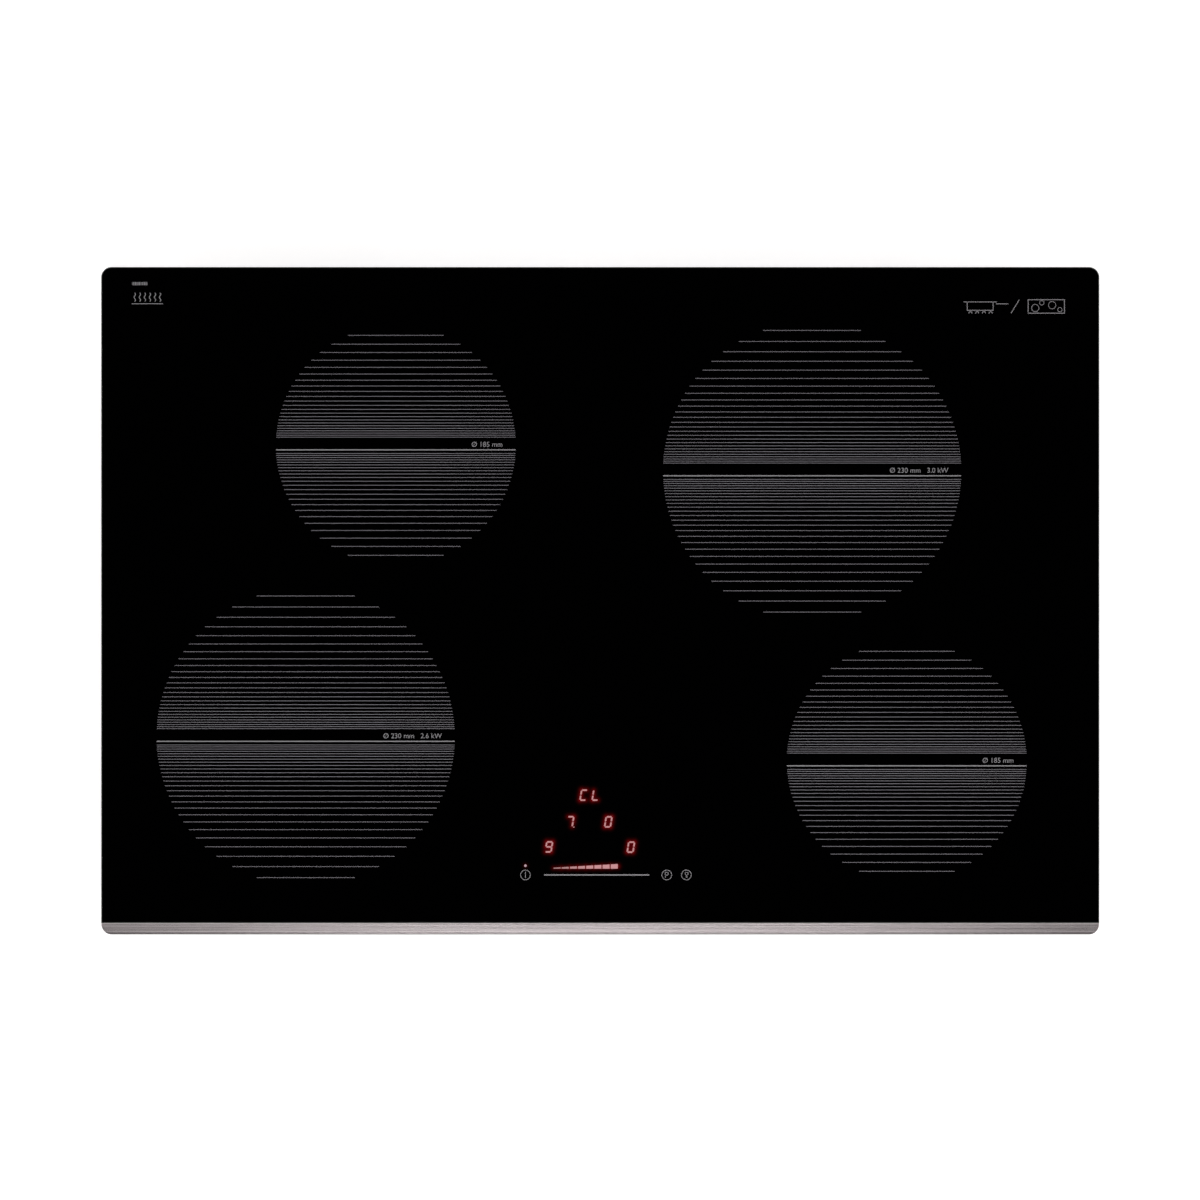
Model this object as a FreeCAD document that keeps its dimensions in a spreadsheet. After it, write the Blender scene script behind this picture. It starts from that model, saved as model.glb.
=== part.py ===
import FreeCAD, Part
import Sketcher
import math
import os

# An electric induction cooktop that drops into a worktop cut-out.
#
# Frame: X to the right, Y to the back, Z up, in millimetres. The origin lies in the middle of the
# worktop's top face, on which the seal under the glass rests. The glass is above Z = 0 and the
# casing hangs below it.
#
# Bodies: the glass, casing and electronics are one rigid body. Each induction coil floats on three
# springs under the glass, each blower wheel spins, each worktop clamp swings out and climbs its
# screw, and the cover of the mains terminals opens on a hinge.

V = FreeCAD.Vector
UP = V(0, 0, 1)
DOC = FreeCAD.newDocument("InductionCooktop")
SHEET = DOC.addObject("Spreadsheet::Sheet", "Sizes")

# The driving dimensions, in millimetres and degrees, and the counts.
DRIVING = {
    # glass, front trim and seal
    "glass_width": 770, "glass_depth": 515, "glass_thick": 4, "glass_corner": 8, "glass_edge": 0.6,
    "trim_depth": 9, "trim_rise": 0.3, "trim_drop": 2, "trim_bevel": 0.5, "trim_nose": 1.4,
    "trim_leg": 7, "trim_leg_thick": 0.8, "trim_groove": 2,
    "seal_thick": 2.5, "seal_band": 6.5, "seal_margin": 3, "glue_thick": 0.5, "glue_band": 7,
    # casing
    "pan_width": 742, "pan_depth": 478, "pan_drop": 52, "pan_rise": 1.2, "sheet_thick": 0.8,
    "pan_corner": 6, "pan_bend": 2, "frame_gap": 0.4, "frame_flange": 11,
    "tray_level": 14, "tray_thick": 1, "tray_gap": 2, "tray_hole": 30,
    "emboss_side": 70, "emboss_front": -120, "emboss_back": 190, "emboss_deep": 4,
    "slot_wide": 3.6, "slot_tall": 17, "slot_pitch": 7.4, "slot_level": 43,
    # case screws
    "screw_head": 3.7, "screw_head_tall": 2.2, "screw_shank": 1.9, "screw_long": 6, "screw_hole": 2.1,
    "screw_level": 7,
    # cooking zones: centre and printed diameter
    "large_zone": 230, "small_zone": 185,
    "front_left_x": -227.2, "front_left_y": -105.2, "rear_left_x": -157.7, "rear_left_y": 119.6,
    "rear_right_x": 163.4, "rear_right_y": 99.6, "front_right_x": 236.4, "front_right_y": -124.1,
    # coils
    "coil_margin": 8, "coil_eye": 22, "litz_dia": 3.2, "litz_pitch": 3.3, "mica_thick": 0.5,
    "mica_eye": 12, "former_thick": 2.5, "former_rim": 2, "former_hub": 3, "rib_thick": 1.6,
    "ferrite_wide": 14, "ferrite_tall": 4.5, "ferrite_count": 8, "sensor_radius": 9,
    "ear_radius": 8, "ear_reach": 6, "ear_hole": 2.9, "post_radius": 2.5, "post_head": 4.4,
    "post_head_tall": 1.5, "post_play": 0.5, "spring_radius": 3.9, "spring_wire": 0.45,
    "spring_turns": 4, "lead_radius": 1.6, "lead_gap": 8, "lead_level": 18.4, "lead_reach": 60,
    # power electronics
    "board_inner": 85, "board_outer": 335, "board_front": -100, "board_back": 192,
    "board_thick": 1.6, "board_lift": 5, "board_margin": 8, "standoff_radius": 3, "stud_hole": 1.7,
    "sink_inner": 262, "sink_wide": 56, "sink_front": -92, "sink_long": 200, "sink_tall": 25,
    "sink_foot": 4, "fin_count": 9, "fin_thick": 2, "chip_wide": 16, "chip_deep": 5, "chip_tall": 20,
    "chip_pitch": 38, "chip_count": 5, "stud_radius": 4, "stud_tall": 8, "stud_pitch": 16,
    "stud_inset": 14, "socket_wide": 12, "socket_long": 22, "socket_tall": 9,
    "film_x": 205, "film_y": -70, "film_pitch": 34, "film_wide": 32, "film_deep": 18, "film_tall": 24,
    "can_x": 180, "can_y": 80, "can_pitch": 24, "can_radius": 9, "can_tall": 26,
    "choke_x": 150, "choke_ring": 14, "choke_wire": 6,
    # blowers
    "blower_x": 275, "blower_y": -160, "blower_tall": 28, "blower_wall": 1.5, "volute_radius": 46,
    "cavity_radius": 43, "inlet_radius": 30, "wheel_radius": 38, "blade_count": 28, "hub_radius": 15,
    "duct_wide": 44, "shaft_radius": 1.5, "grille_slots": 18, "foot_reach": 38, "foot_half": 6,
    "foot_tall": 2.5, "wheel_gap": 4,
    # touch control unit
    "control_x": 4, "control_y": -178, "control_wide": 156, "control_deep": 94, "control_wall": 1.5,
    "control_level": 4.5, "control_foot": 2, "leg_inset": 9, "leg_radius": 4, "digit_wide": 9.2,
    "digit_tall": 13, "digit_body": 6, "key_y": -211.6, "pad_radius": 2.4, "loom_x": 46, "loom_y": -142,
    "loom_radius": 2.5, "loom_hole": 4, "loom_level": 24,
    # mains connection
    "bay_x": 260, "bay_wide": 96, "bay_deep": 42, "bay_tall": 28, "cover_gap": 0.8, "cover_wall": 1.8,
    "inlet_bore": 6, "inlet_block": 26, "inlet_long": 9, "cover_hinge": 2.5, "cover_pin": 2,
    "cover_front": 12, "pole_count": 5, "pole_pitch": 12, "strip_deep": 16, "strip_tall": 15,
    "wire_hole": 5,
    # worktop clamps
    "clamp_y": 150, "pocket_long": 52, "pocket_deep": 15, "pocket_top": 18, "pocket_floor": 46,
    "clamp_screw": 2.5, "clamp_screw_head": 4.5, "clamp_hole": 2.75, "clamp_arm": 38,
    "clamp_wide": 9, "clamp_thick": 3, "clamp_hub": 5.6, "clamp_hub_tall": 7, "clamp_lip": 3,
}


class Size:
    """A number that keeps the sheet expression it came from, so that a feature can be bound to it."""

    def __init__(self, number, text):
        self.number = float(number)
        self.text = text

    def __add__(self, other):
        return joined(self, "+", other, lambda a, b: a + b)

    def __radd__(self, other):
        return as_size(other) + self

    def __sub__(self, other):
        return joined(self, "-", other, lambda a, b: a - b)

    def __rsub__(self, other):
        return as_size(other) - self

    def __mul__(self, other):
        return joined(self, "*", other, lambda a, b: a * b)

    def __rmul__(self, other):
        return as_size(other) * self

    def __truediv__(self, other):
        return joined(self, "/", other, lambda a, b: a / b)

    def __neg__(self):
        return as_size(0) - self

    def __float__(self):
        return self.number


def as_size(value):
    """A plain number as a Size."""
    return value if isinstance(value, Size) else Size(value, repr(float(value)))


def joined(first, sign, second, work):
    """The Size of two sizes with a sign between them."""
    first, second = as_size(first), as_size(second)
    return Size(work(first.number, second.number), f"({first.text} {sign} {second.text})")


class Cells:
    """Reads the sheet: S.glass_width is that cell as a Size."""

    def __getattr__(self, name):
        return Size(SHEET.get(name), f"Sizes.{name}")


def fill_sheet():
    """Writes the driving dimensions into the sheet, one named cell each."""
    for row, (name, number) in enumerate(DRIVING.items(), start=1):
        SHEET.set(f"A{row}", name)
        SHEET.set(f"B{row}", str(number))
        SHEET.setAlias(f"B{row}", name)
    DOC.recompute()


fill_sheet()
S = Cells()

# Levels that several pieces share, from the top down.
GLASS_UNDER = S.seal_thick
GLASS_TOP = GLASS_UNDER + S.glass_thick
FRAME_TOP = GLASS_UNDER - S.glue_thick
WINDING_TOP = GLASS_UNDER - S.mica_thick
FORMER_TOP = WINDING_TOP - S.litz_dia
FORMER_UNDER = FORMER_TOP - S.former_thick
FERRITE_UNDER = FORMER_UNDER - S.ferrite_tall
TRAY_UNDER = -S.tray_level
TRAY_TOP = TRAY_UNDER + S.tray_thick
PAN_UNDER = -S.pan_drop
PAN_FLOOR = PAN_UNDER + S.sheet_thick
BOARD_TOP = PAN_FLOOR + S.board_lift + S.board_thick
BAY_ROOF = PAN_UNDER + S.bay_tall

# Outlines that several pieces share.
GLASS_FRONT = S.trim_depth - S.glass_depth / 2
PAN_SIDE = S.pan_width / 2
PAN_BACK = S.pan_depth / 2
FRAME_SIDE = PAN_SIDE - S.sheet_thick - S.frame_gap
FRAME_BACK = PAN_BACK - S.sheet_thick - S.frame_gap
BAY_BACK = PAN_BACK
BAY_FRONT = PAN_BACK - S.bay_deep
CLAMP_X = PAN_SIDE - S.pocket_deep / 2

ZONES = {
    "front_left": (S.front_left_x, S.front_left_y, S.large_zone),
    "rear_left": (S.rear_left_x, S.rear_left_y, S.small_zone),
    "rear_right": (S.rear_right_x, S.rear_right_y, S.large_zone),
    "front_right": (S.front_right_x, S.front_right_y, S.small_zone),
}
EAR_ANGLES = (90, 210, 330)
TERMINAL_ROWS = {"front": -70, "rear": 100}
SOCKET_ROWS = (-20, 14, 48)
CHOKE_ROWS = (-60, 10, 150)
SIDES = {"left": -1, "right": 1}
CORNERS = {
    "front_left": (-1, -1), "front_right": (1, -1), "rear_left": (-1, 1), "rear_right": (1, 1),
}
PARTS = []


# ---------------------------------------------------------------- ways to make features

def bind(owner, prop, size):
    """Ties one property of an object to the sheet."""
    owner.setExpression(prop, as_size(size).text)


def place(owner, x, y, z):
    """Ties an object's position to the sheet."""
    for axis, size in (("x", x), ("y", y), ("z", z)):
        bind(owner, f"Placement.Base.{axis}", size)


def keep(owner):
    """Lists an object as a sub-part to be written, and returns it."""
    PARTS.append(owner)
    return owner


def block(name, low, high):
    """A box from its low corner to its high corner."""
    made = DOC.addObject("Part::Box", name)
    for prop, start, end in zip(("Length", "Width", "Height"), low, high):
        bind(made, prop, end - start)
    place(made, *low)
    return made


def rod(name, x, y, z, radius, tall):
    """An upright cylinder standing at a point."""
    made = DOC.addObject("Part::Cylinder", name)
    bind(made, "Radius", radius)
    bind(made, "Height", tall)
    place(made, x, y, z)
    return made


def cross_rod(name, x, y, z, radius, long):
    """A cylinder lying along +Y from a point."""
    made = rod(name, x, y, z, radius, long)
    made.Placement.Rotation = FreeCAD.Rotation(V(1, 0, 0), -90)
    return made


def fuse(name, shapes):
    """The union of several objects."""
    made = DOC.addObject("Part::MultiFuse", name)
    made.Shapes = shapes
    return made


def group(name, shapes):
    """Several separate solids in one object."""
    made = DOC.addObject("Part::Compound", name)
    made.Links = shapes
    return made


def cut(name, base, tools):
    """An object with others taken away from it."""
    made = DOC.addObject("Part::Cut", name)
    made.Base = base
    made.Tool = tools[0] if len(tools) == 1 else fuse(f"{name}_tools", tools)
    return made


def new_body(name, x=0, y=0, z=0):
    """An empty PartDesign body at a place."""
    made = DOC.addObject("PartDesign::Body", name)
    place(made, x, y, z)
    return made


def rectangle(x0, y0, x1, y1):
    """The corners of an upright rectangle."""
    return [(x0, y0), (x1, y0), (x1, y1), (x0, y1)]


def sketch(body, plane, level=0, outlines=(), circles=()):
    """A sketch on an origin plane, lifted along its normal, its corners and circles bound to the sheet."""
    made = body.newObject("Sketcher::SketchObject", "outline")
    support = next(f for f in body.Origin.OriginFeatures if f.Role == plane)
    made.AttachmentSupport = (support, [""])
    made.MapMode = "FlatFace"
    bind(made, "AttachmentOffset.Base.z", level)
    for corners in outlines:
        points = [V(float(x), float(y), 0) for x, y in corners]
        first = made.GeometryCount
        count = len(points)
        for i in range(count):
            made.addGeometry(Part.LineSegment(points[i], points[(i + 1) % count]), False)
        for i in range(count):
            made.addConstraint(Sketcher.Constraint("Coincident", first + i, 2, first + (i + 1) % count, 1))
        for i, corner in enumerate(corners):
            pin_point(made, first + i, 1, corner)
    for x, y, radius in circles:
        line = Part.Circle(V(float(x), float(y), 0), UP, float(radius))
        index = made.addGeometry(line, False)
        pin_point(made, index, 3, (x, y))
        tie = made.addConstraint(Sketcher.Constraint("Radius", index, float(radius)))
        bind(made, f"Constraints[{tie}]", radius)
    return made


def pin_point(made, index, end, where):
    """Holds a sketch point at its place from the origin."""
    for kind, size in zip(("DistanceX", "DistanceY"), where):
        tie = made.addConstraint(Sketcher.Constraint(kind, -1, 1, index, end, float(size)))
        bind(made, f"Constraints[{tie}]", size)


def pad(body, outline, tall, backwards=False):
    """A sketch raised along its normal."""
    made = body.newObject("PartDesign::Pad", "pad")
    made.Profile = outline
    made.Reversed = backwards
    bind(made, "Length", tall)
    return made


def pocket(body, outline, deep, backwards=False):
    """A sketch sunk against its normal, or along it."""
    made = body.newObject("PartDesign::Pocket", "pocket")
    made.Profile = outline
    made.Reversed = backwards
    bind(made, "Length", deep)
    return made


def turned(body, outline):
    """A sketch on the XZ plane turned once about Z."""
    made = body.newObject("PartDesign::Revolution", "turned")
    made.Profile = outline
    made.ReferenceAxis = (outline, ["V_Axis"])
    made.Angle = 360
    return made


def around(body, feature, outline, count):
    """A feature repeated round the body's Z axis."""
    made = body.newObject("PartDesign::PolarPattern", "around")
    made.Originals = [feature]
    made.Axis = (outline, ["N_Axis"])
    made.Angle = 360
    bind(made, "Occurrences", count)
    body.Tip = made
    return made


def in_row(body, feature, outline, axis, pitch, count):
    """A feature repeated along one axis of its sketch."""
    made = body.newObject("PartDesign::LinearPattern", "row")
    made.Originals = [feature]
    made.Direction = (outline, [axis])
    bind(made, "Length", pitch * (count - 1))
    made.Occurrences = count
    body.Tip = made
    return made


def edges_of(feature, chosen):
    """The names of the feature's edges that a test picks."""
    DOC.recompute()
    names = [f"Edge{i}" for i, edge in enumerate(feature.Shape.Edges, start=1) if chosen(edge)]
    if not names:
        raise ValueError(f"{feature.Name} has no such edge")
    return names


def round_edges(body, feature, radius, chosen, kind="Fillet"):
    """Rounds or bevels the edges that a test picks."""
    made = body.newObject(f"PartDesign::{kind}", kind.lower())
    made.Base = (feature, edges_of(feature, chosen))
    bind(made, "Radius" if kind == "Fillet" else "Size", radius)
    body.Tip = made
    return made


def near(a, b):
    """Whether two lengths are the same."""
    return abs(float(a) - float(b)) < 1e-4


def upright(edge):
    """Whether an edge is a straight vertical one."""
    a, b = edge.Vertexes[0].Point, edge.Vertexes[-1].Point
    return near(a.x, b.x) and near(a.y, b.y) and not near(a.z, b.z)


def level_at(edge, *levels):
    """Whether an edge lies flat at one of some levels."""
    box = edge.BoundBox
    return near(box.ZMin, box.ZMax) and any(near(box.ZMin, z) for z in levels)


def copies(name, master, places):
    """One object holding a copy of a finished piece at each place."""
    DOC.recompute()
    shape = Part.makeCompound([placed(master.Shape, spot) for spot in places])
    made = DOC.addObject("Part::Feature", name)
    made.Shape = shape
    return made


def placed(shape, spot):
    """A copy of a shape, turned and moved by a placement."""
    moved = shape.copy()
    moved.Placement = spot.multiply(moved.Placement)
    return moved


def spot(x, y, z, axis=UP, angle=0):
    """A placement at a point, turned about an axis."""
    return FreeCAD.Placement(V(float(x), float(y), float(z)), FreeCAD.Rotation(axis, angle))


# ---------------------------------------------------------------- glass, trim, seal and glue

def glass_plate():
    """The glass-ceramic plate: rear corners rounded, all edges ground to a small bevel."""
    body = new_body("glass_plate")
    side, back = S.glass_width / 2, S.glass_depth / 2
    outline = sketch(body, "XY_Plane", GLASS_UNDER, [rectangle(-side, GLASS_FRONT, side, back)])
    plate = pad(body, outline, S.glass_thick)
    rear = round_edges(body, plate, S.glass_corner, lambda e: upright(e) and e.BoundBox.YMin > 0)
    rims = (float(GLASS_UNDER), float(GLASS_TOP))
    round_edges(body, rear, S.glass_edge, lambda e: level_at(e, *rims), "Chamfer")
    keep(body)


def front_trim():
    """The metal trim along the front: one drawn section with a leg under the glass and round ends."""
    body = new_body("front_trim")
    nose, low = -S.glass_depth / 2, GLASS_UNDER - S.trim_drop
    top, leg_back = GLASS_TOP + S.trim_rise, GLASS_FRONT + S.trim_leg
    middle = nose + S.trim_depth / 2
    section = [
        (GLASS_FRONT, GLASS_UNDER), (GLASS_FRONT, top - S.trim_bevel), (GLASS_FRONT - S.trim_bevel, top),
        (nose, top), (nose, low),
        (middle - S.trim_groove / 2, low), (middle - S.trim_groove / 2, low + S.trim_groove / 2),
        (middle + S.trim_groove / 2, low + S.trim_groove / 2), (middle + S.trim_groove / 2, low),
        (GLASS_FRONT, low), (GLASS_FRONT, GLASS_UNDER - S.trim_leg_thick),
        (leg_back, GLASS_UNDER - S.trim_leg_thick), (leg_back, GLASS_UNDER),
    ]
    outline = sketch(body, "YZ_Plane", -S.glass_width / 2, [section])
    bar = pad(body, outline, S.glass_width)
    ends = round_edges(body, bar, S.glass_corner, lambda e: upright(e) and near(e.BoundBox.YMin, nose))
    round_edges(body, ends, S.trim_nose, lambda e: level_at(e, top) and near(e.BoundBox.YMin, nose))
    keep(body)


def seal_gasket():
    """The foam seal on which the glass rests, thinner under the trim's leg."""
    side, back = S.glass_width / 2 - S.seal_margin, S.glass_depth / 2 - S.seal_margin
    front = GLASS_FRONT + S.seal_margin / 2
    inner = S.seal_band
    body = new_body("seal_ring")
    outer_line = rectangle(-side, front, side, back)
    inner_line = rectangle(inner - side, front + inner, side - inner, back - inner)
    ring = pad(body, sketch(body, "XY_Plane", 0, [outer_line, inner_line]), S.seal_thick)
    round_edges(body, ring, S.glass_corner - S.seal_margin,
                lambda e: upright(e) and near(e.BoundBox.YMin, back))
    leg = block("seal_relief", (-S.glass_width, GLASS_FRONT, GLASS_UNDER - S.trim_leg_thick),
                (S.glass_width, GLASS_FRONT + S.trim_leg, GLASS_UNDER + 1))
    keep(cut("seal_gasket", body, [leg]))


def glass_adhesive():
    """The silicone bead that glues the glass to the frame."""
    body = new_body("glass_adhesive")
    side, back, band = FRAME_SIDE - 2, FRAME_BACK - 2, S.glue_band
    lines = [rectangle(-side, -back, side, back),
             rectangle(band - side, band - back, side - band, back - band)]
    ring = pad(body, sketch(body, "XY_Plane", FRAME_TOP, lines), S.glue_thick)
    round_edges(body, ring, S.pan_corner, lambda e: upright(e) and near(abs(e.BoundBox.XMin), side))
    keep(body)


# ---------------------------------------------------------------- casing

def screw_spots():
    """Places of the case screws: through the pan's walls, then down through the tray's edge."""
    level, side, back = -S.screw_level, PAN_SIDE, PAN_BACK
    wall = [spot(x, sign * back, level, V(1, 0, 0), -90 * sign)
            for sign in (-1, 1) for x in (-side * 0.82, 0, side * 0.82)]
    wall += [spot(sign * side, y, level, V(0, 1, 0), 90 * sign)
             for sign in (-1, 1) for y in (-back * 0.3, back * 0.3)]
    edge_x, edge_y = FRAME_SIDE - S.frame_flange / 2, FRAME_BACK - S.frame_flange / 2
    tray = [spot(sign * edge_x, y, TRAY_TOP)
            for sign in (-1, 1) for y in (-edge_y * 0.9, edge_y * 0.9)]
    tray += [spot(x, sign * edge_y, TRAY_TOP)
             for sign in (-1, 1) for x in (-edge_x * 0.45, edge_x * 0.45)]
    return wall + tray


def screw_holes(name):
    """The clearance holes of all the case screws, as one tool."""
    DOC.recompute()
    radius, reach = float(S.screw_hole), 2 * float(S.screw_long)
    hole = Part.makeCylinder(radius, reach, V(0, 0, -reach + 1))
    made = DOC.addObject("Part::Feature", name)
    made.Shape = Part.makeCompound([placed(hole, place_) for place_ in screw_spots()])
    return made


def case_screws():
    """Pan-head screws with a cross recess, all alike."""
    body = new_body("screw")
    head, tall, shank, long = S.screw_head, S.screw_head_tall, S.screw_shank, S.screw_long
    profile = [(0, -long), (shank * 0.6, -long), (shank, 0.8 - long), (shank, 0), (head, 0),
               (head, tall * 0.5), (head * 0.72, tall * 0.9), (head * 0.3, tall), (0, tall)]
    turned(body, sketch(body, "XZ_Plane", 0, [profile]))
    half, reach = 0.45, head * 0.55
    cross = [(-reach, -half), (-half, -half), (-half, -reach), (half, -reach), (half, -half),
             (reach, -half), (reach, half), (half, half), (half, reach), (-half, reach),
             (-half, half), (-reach, half)]
    pocket(body, sketch(body, "XY_Plane", tall, [cross]), tall * 0.6)
    keep(copies("case_screws", body, screw_spots()))


def support_frame():
    """The folded frame that carries the glass above and the coil tray below."""
    body = new_body("frame_block")
    side, back = FRAME_SIDE, FRAME_BACK
    bottom, tall = TRAY_UNDER - S.sheet_thick, FRAME_TOP - TRAY_UNDER + S.sheet_thick
    solid = pad(body, sketch(body, "XY_Plane", bottom, [rectangle(-side, -back, side, back)]), tall)
    round_edges(body, solid, S.pan_corner - S.sheet_thick, upright)
    web, flange = S.sheet_thick, S.frame_flange
    hollow = block("frame_hollow", (web - side, web - back, TRAY_UNDER),
                   (side - web, back - web, FRAME_TOP - web))
    opening = block("frame_opening", (flange - side, flange - back, bottom - 1),
                    (side - flange, back - flange, FRAME_TOP + 1))
    keep(cut("support_frame", body, [hollow, opening, screw_holes("frame_holes")]))


def pan_block(name, inset):
    """The pan's outer shape, or its inside when inset by the sheet's thickness, with its pockets."""
    body = new_body(name)
    side, back, floor = PAN_SIDE - inset, PAN_BACK - inset, PAN_UNDER + inset
    top = S.pan_rise + inset
    outline = sketch(body, "XY_Plane", floor, [rectangle(-side, -back, side, back)])
    solid = pad(body, outline, top - floor)
    bends = round_edges(body, solid, S.pan_corner - inset, upright)
    round_edges(body, bends, S.pan_bend - inset, lambda e: level_at(e, floor))
    beyond = side + S.pocket_deep
    pockets = [block(f"{name}_pocket_{corner}", *in_order(
        (sx * (PAN_SIDE - S.pocket_deep - inset), sy * S.clamp_y - S.pocket_long / 2 - inset,
         -S.pocket_floor - inset),
        (sx * beyond, sy * S.clamp_y + S.pocket_long / 2 + inset, -S.pocket_top + inset)))
        for corner, (sx, sy) in CORNERS.items()]
    bay = block(f"{name}_bay", (S.bay_x - S.bay_wide / 2 - inset, BAY_FRONT - inset, floor - S.bay_deep),
                (S.bay_x + S.bay_wide / 2 + inset, BAY_BACK + S.bay_deep, BAY_ROOF + inset))
    emboss = block(f"{name}_emboss", (-S.emboss_side - inset, S.emboss_front - inset, floor - 1),
                   (S.emboss_side + inset, S.emboss_back + inset, floor + S.emboss_deep))
    return cut(f"{name}_notched", body, [*pockets, bay, emboss])


def in_order(a, b):
    """Two opposite corners as the low one and the high one."""
    pairs = [(p, q) if float(p) < float(q) else (q, p) for p, q in zip(a, b)]
    return tuple(p for p, _ in pairs), tuple(q for _, q in pairs)


def slot_line(x, low, wide, tall):
    """A narrow slot with bevelled ends, standing on a point."""
    half, bevel = wide / 2, wide / 3
    return [(x - half + bevel, low), (x + half - bevel, low), (x + half, low + bevel),
            (x + half, low + tall - bevel), (x + half - bevel, low + tall),
            (x - half + bevel, low + tall), (x - half, low + tall - bevel), (x - half, low + bevel)]


def slot_row(name, plane, level, start, low, tall, count):
    """A row of vent slots as a tool: plane and level place the wall that it cuts."""
    body = new_body(name)
    line = sketch(body, plane, level - 3, [slot_line(start, low, S.slot_wide, tall)])
    first = pad(body, line, 6)
    in_row(body, first, line, "H_Axis", S.slot_pitch, count)
    return body


def grille(name, x):
    """The ring of slots under a blower's inlet, as a tool."""
    body = new_body(name, x, S.blower_y, PAN_UNDER - 1)
    inner, outer, half = S.inlet_radius * 0.4, S.inlet_radius * 0.98, S.slot_wide / 2
    petal = [(inner, -half * 0.5), (outer, -half), (outer + 1, 0), (outer, half), (inner, half * 0.5)]
    line = sketch(body, "XY_Plane", 0, [petal])
    around(body, pad(body, line, 3), line, S.grille_slots)
    return body


def base_pan():
    """The pressed steel pan with clamp pockets, a bay for the mains terminals, vents and holes."""
    shell = cut("pan_shell", pan_block("pan_outside", 0), [pan_block("pan_inside", S.sheet_thick)])
    low, tall = -S.slot_level, S.slot_tall
    rows = [slot_row(f"vents_front_{side}", "XZ_Plane", PAN_BACK, start, low, tall, 22)
            for side, start in (("left", -S.pan_width * 0.44), ("right", S.pan_width * 0.23))]
    rows += [slot_row("vents_back_left", "XZ_Plane", -PAN_BACK, -S.pan_width * 0.44, low, tall, 22),
             slot_row("vents_back_right", "XZ_Plane", -PAN_BACK, S.pan_width * 0.06, low, tall, 16)]
    rows += [slot_row(f"vents_{side}", "YZ_Plane", sign * PAN_SIDE, -S.pan_depth * 0.18, low, tall, 24)
             for side, sign in SIDES.items()]
    floor = [slot_row(f"vents_floor_{side}", "XY_Plane", PAN_UNDER, start, S.sink_front + 60, 60, 14)
             for side, start in (("left", -S.sink_inner - 48), ("right", S.sink_inner - 48))]
    grilles = [grille(f"grille_{side}", sign * S.blower_x) for side, sign in SIDES.items()]
    screws = [rod(f"clamp_access_{corner}", sx * CLAMP_X, sy * clamp_axis_y(), PAN_UNDER - 1,
                  S.clamp_screw_head + 0.6, 3) for corner, (sx, sy) in CORNERS.items()]
    shafts = [rod(f"clamp_hole_{corner}", sx * CLAMP_X, sy * clamp_axis_y(), -S.pocket_floor - 2,
                  S.clamp_hole, S.pocket_floor - S.pocket_top + 4)
              for corner, (sx, sy) in CORNERS.items()]
    pins = cut("pin_holes", hinge_rod("pin_way", S.cover_pin + 0.06, S.cover_gap + 2),
               [block("pin_land", (S.bay_x - S.bay_wide / 2, BAY_FRONT, PAN_UNDER),
                      (S.bay_x + S.bay_wide / 2, BAY_BACK, PAN_UNDER + 10))])
    wires = rod("wire_way", S.bay_x - S.bay_wide * 0.4, BAY_FRONT + 12, BAY_ROOF - 2, S.wire_hole, 6)
    tools = [*rows, *floor, *grilles, *screws, *shafts, screw_holes("pan_holes"), pins, wires]
    keep(cut("base_pan", shell, tools))


def coil_tray():
    """The aluminium sheet that carries the coils and shields the boards below."""
    side, back = FRAME_SIDE - S.tray_gap, FRAME_BACK - S.tray_gap
    body = new_body("tray_sheet")
    sheet = pad(body, sketch(body, "XY_Plane", TRAY_UNDER, [rectangle(-side, -back, side, back)]),
                S.tray_thick)
    round_edges(body, sheet, S.pan_corner, upright)
    tools = [rod(f"tray_hole_{zone}", x, y, TRAY_UNDER - 1, S.tray_hole, 3)
             for zone, (x, y, _) in ZONES.items()]
    tools += [rod(f"tray_post_{zone}_{angle}", *ear_centre(zone, angle), TRAY_UNDER - 1,
                  S.post_radius + 0.05, 3) for zone in ZONES for angle in EAR_ANGLES]
    tools += [rod(f"tray_lead_{zone}_{row}", *lead_start(zone, row), TRAY_UNDER - 1,
                  S.lead_radius + 0.9, 3) for zone in ZONES for row in (0, 1)]
    loom = rod("tray_loom", S.loom_x, S.loom_y, TRAY_UNDER - 1, S.loom_hole, 3)
    keep(cut("coil_tray", body, [*tools, loom, screw_holes("tray_holes")]))


# ---------------------------------------------------------------- induction coils

def coil_radius(zone):
    """The outer radius of a zone's winding."""
    return ZONES[zone][2] / 2 - S.coil_margin


def ear_centre(zone, angle):
    """Where one ear of a coil former stands, in the cooktop's frame."""
    x, y, _ = ZONES[zone]
    reach = coil_radius(zone) + S.former_rim + S.ear_reach
    turn = math.radians(angle)
    return x + reach * round(math.cos(turn), 6), y + reach * round(math.sin(turn), 6)


def lead_side(zone):
    """Which way a coil's leads go: 1 to the right for the left-hand zones, and the reverse."""
    return 1 if "left" in zone else -1


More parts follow.
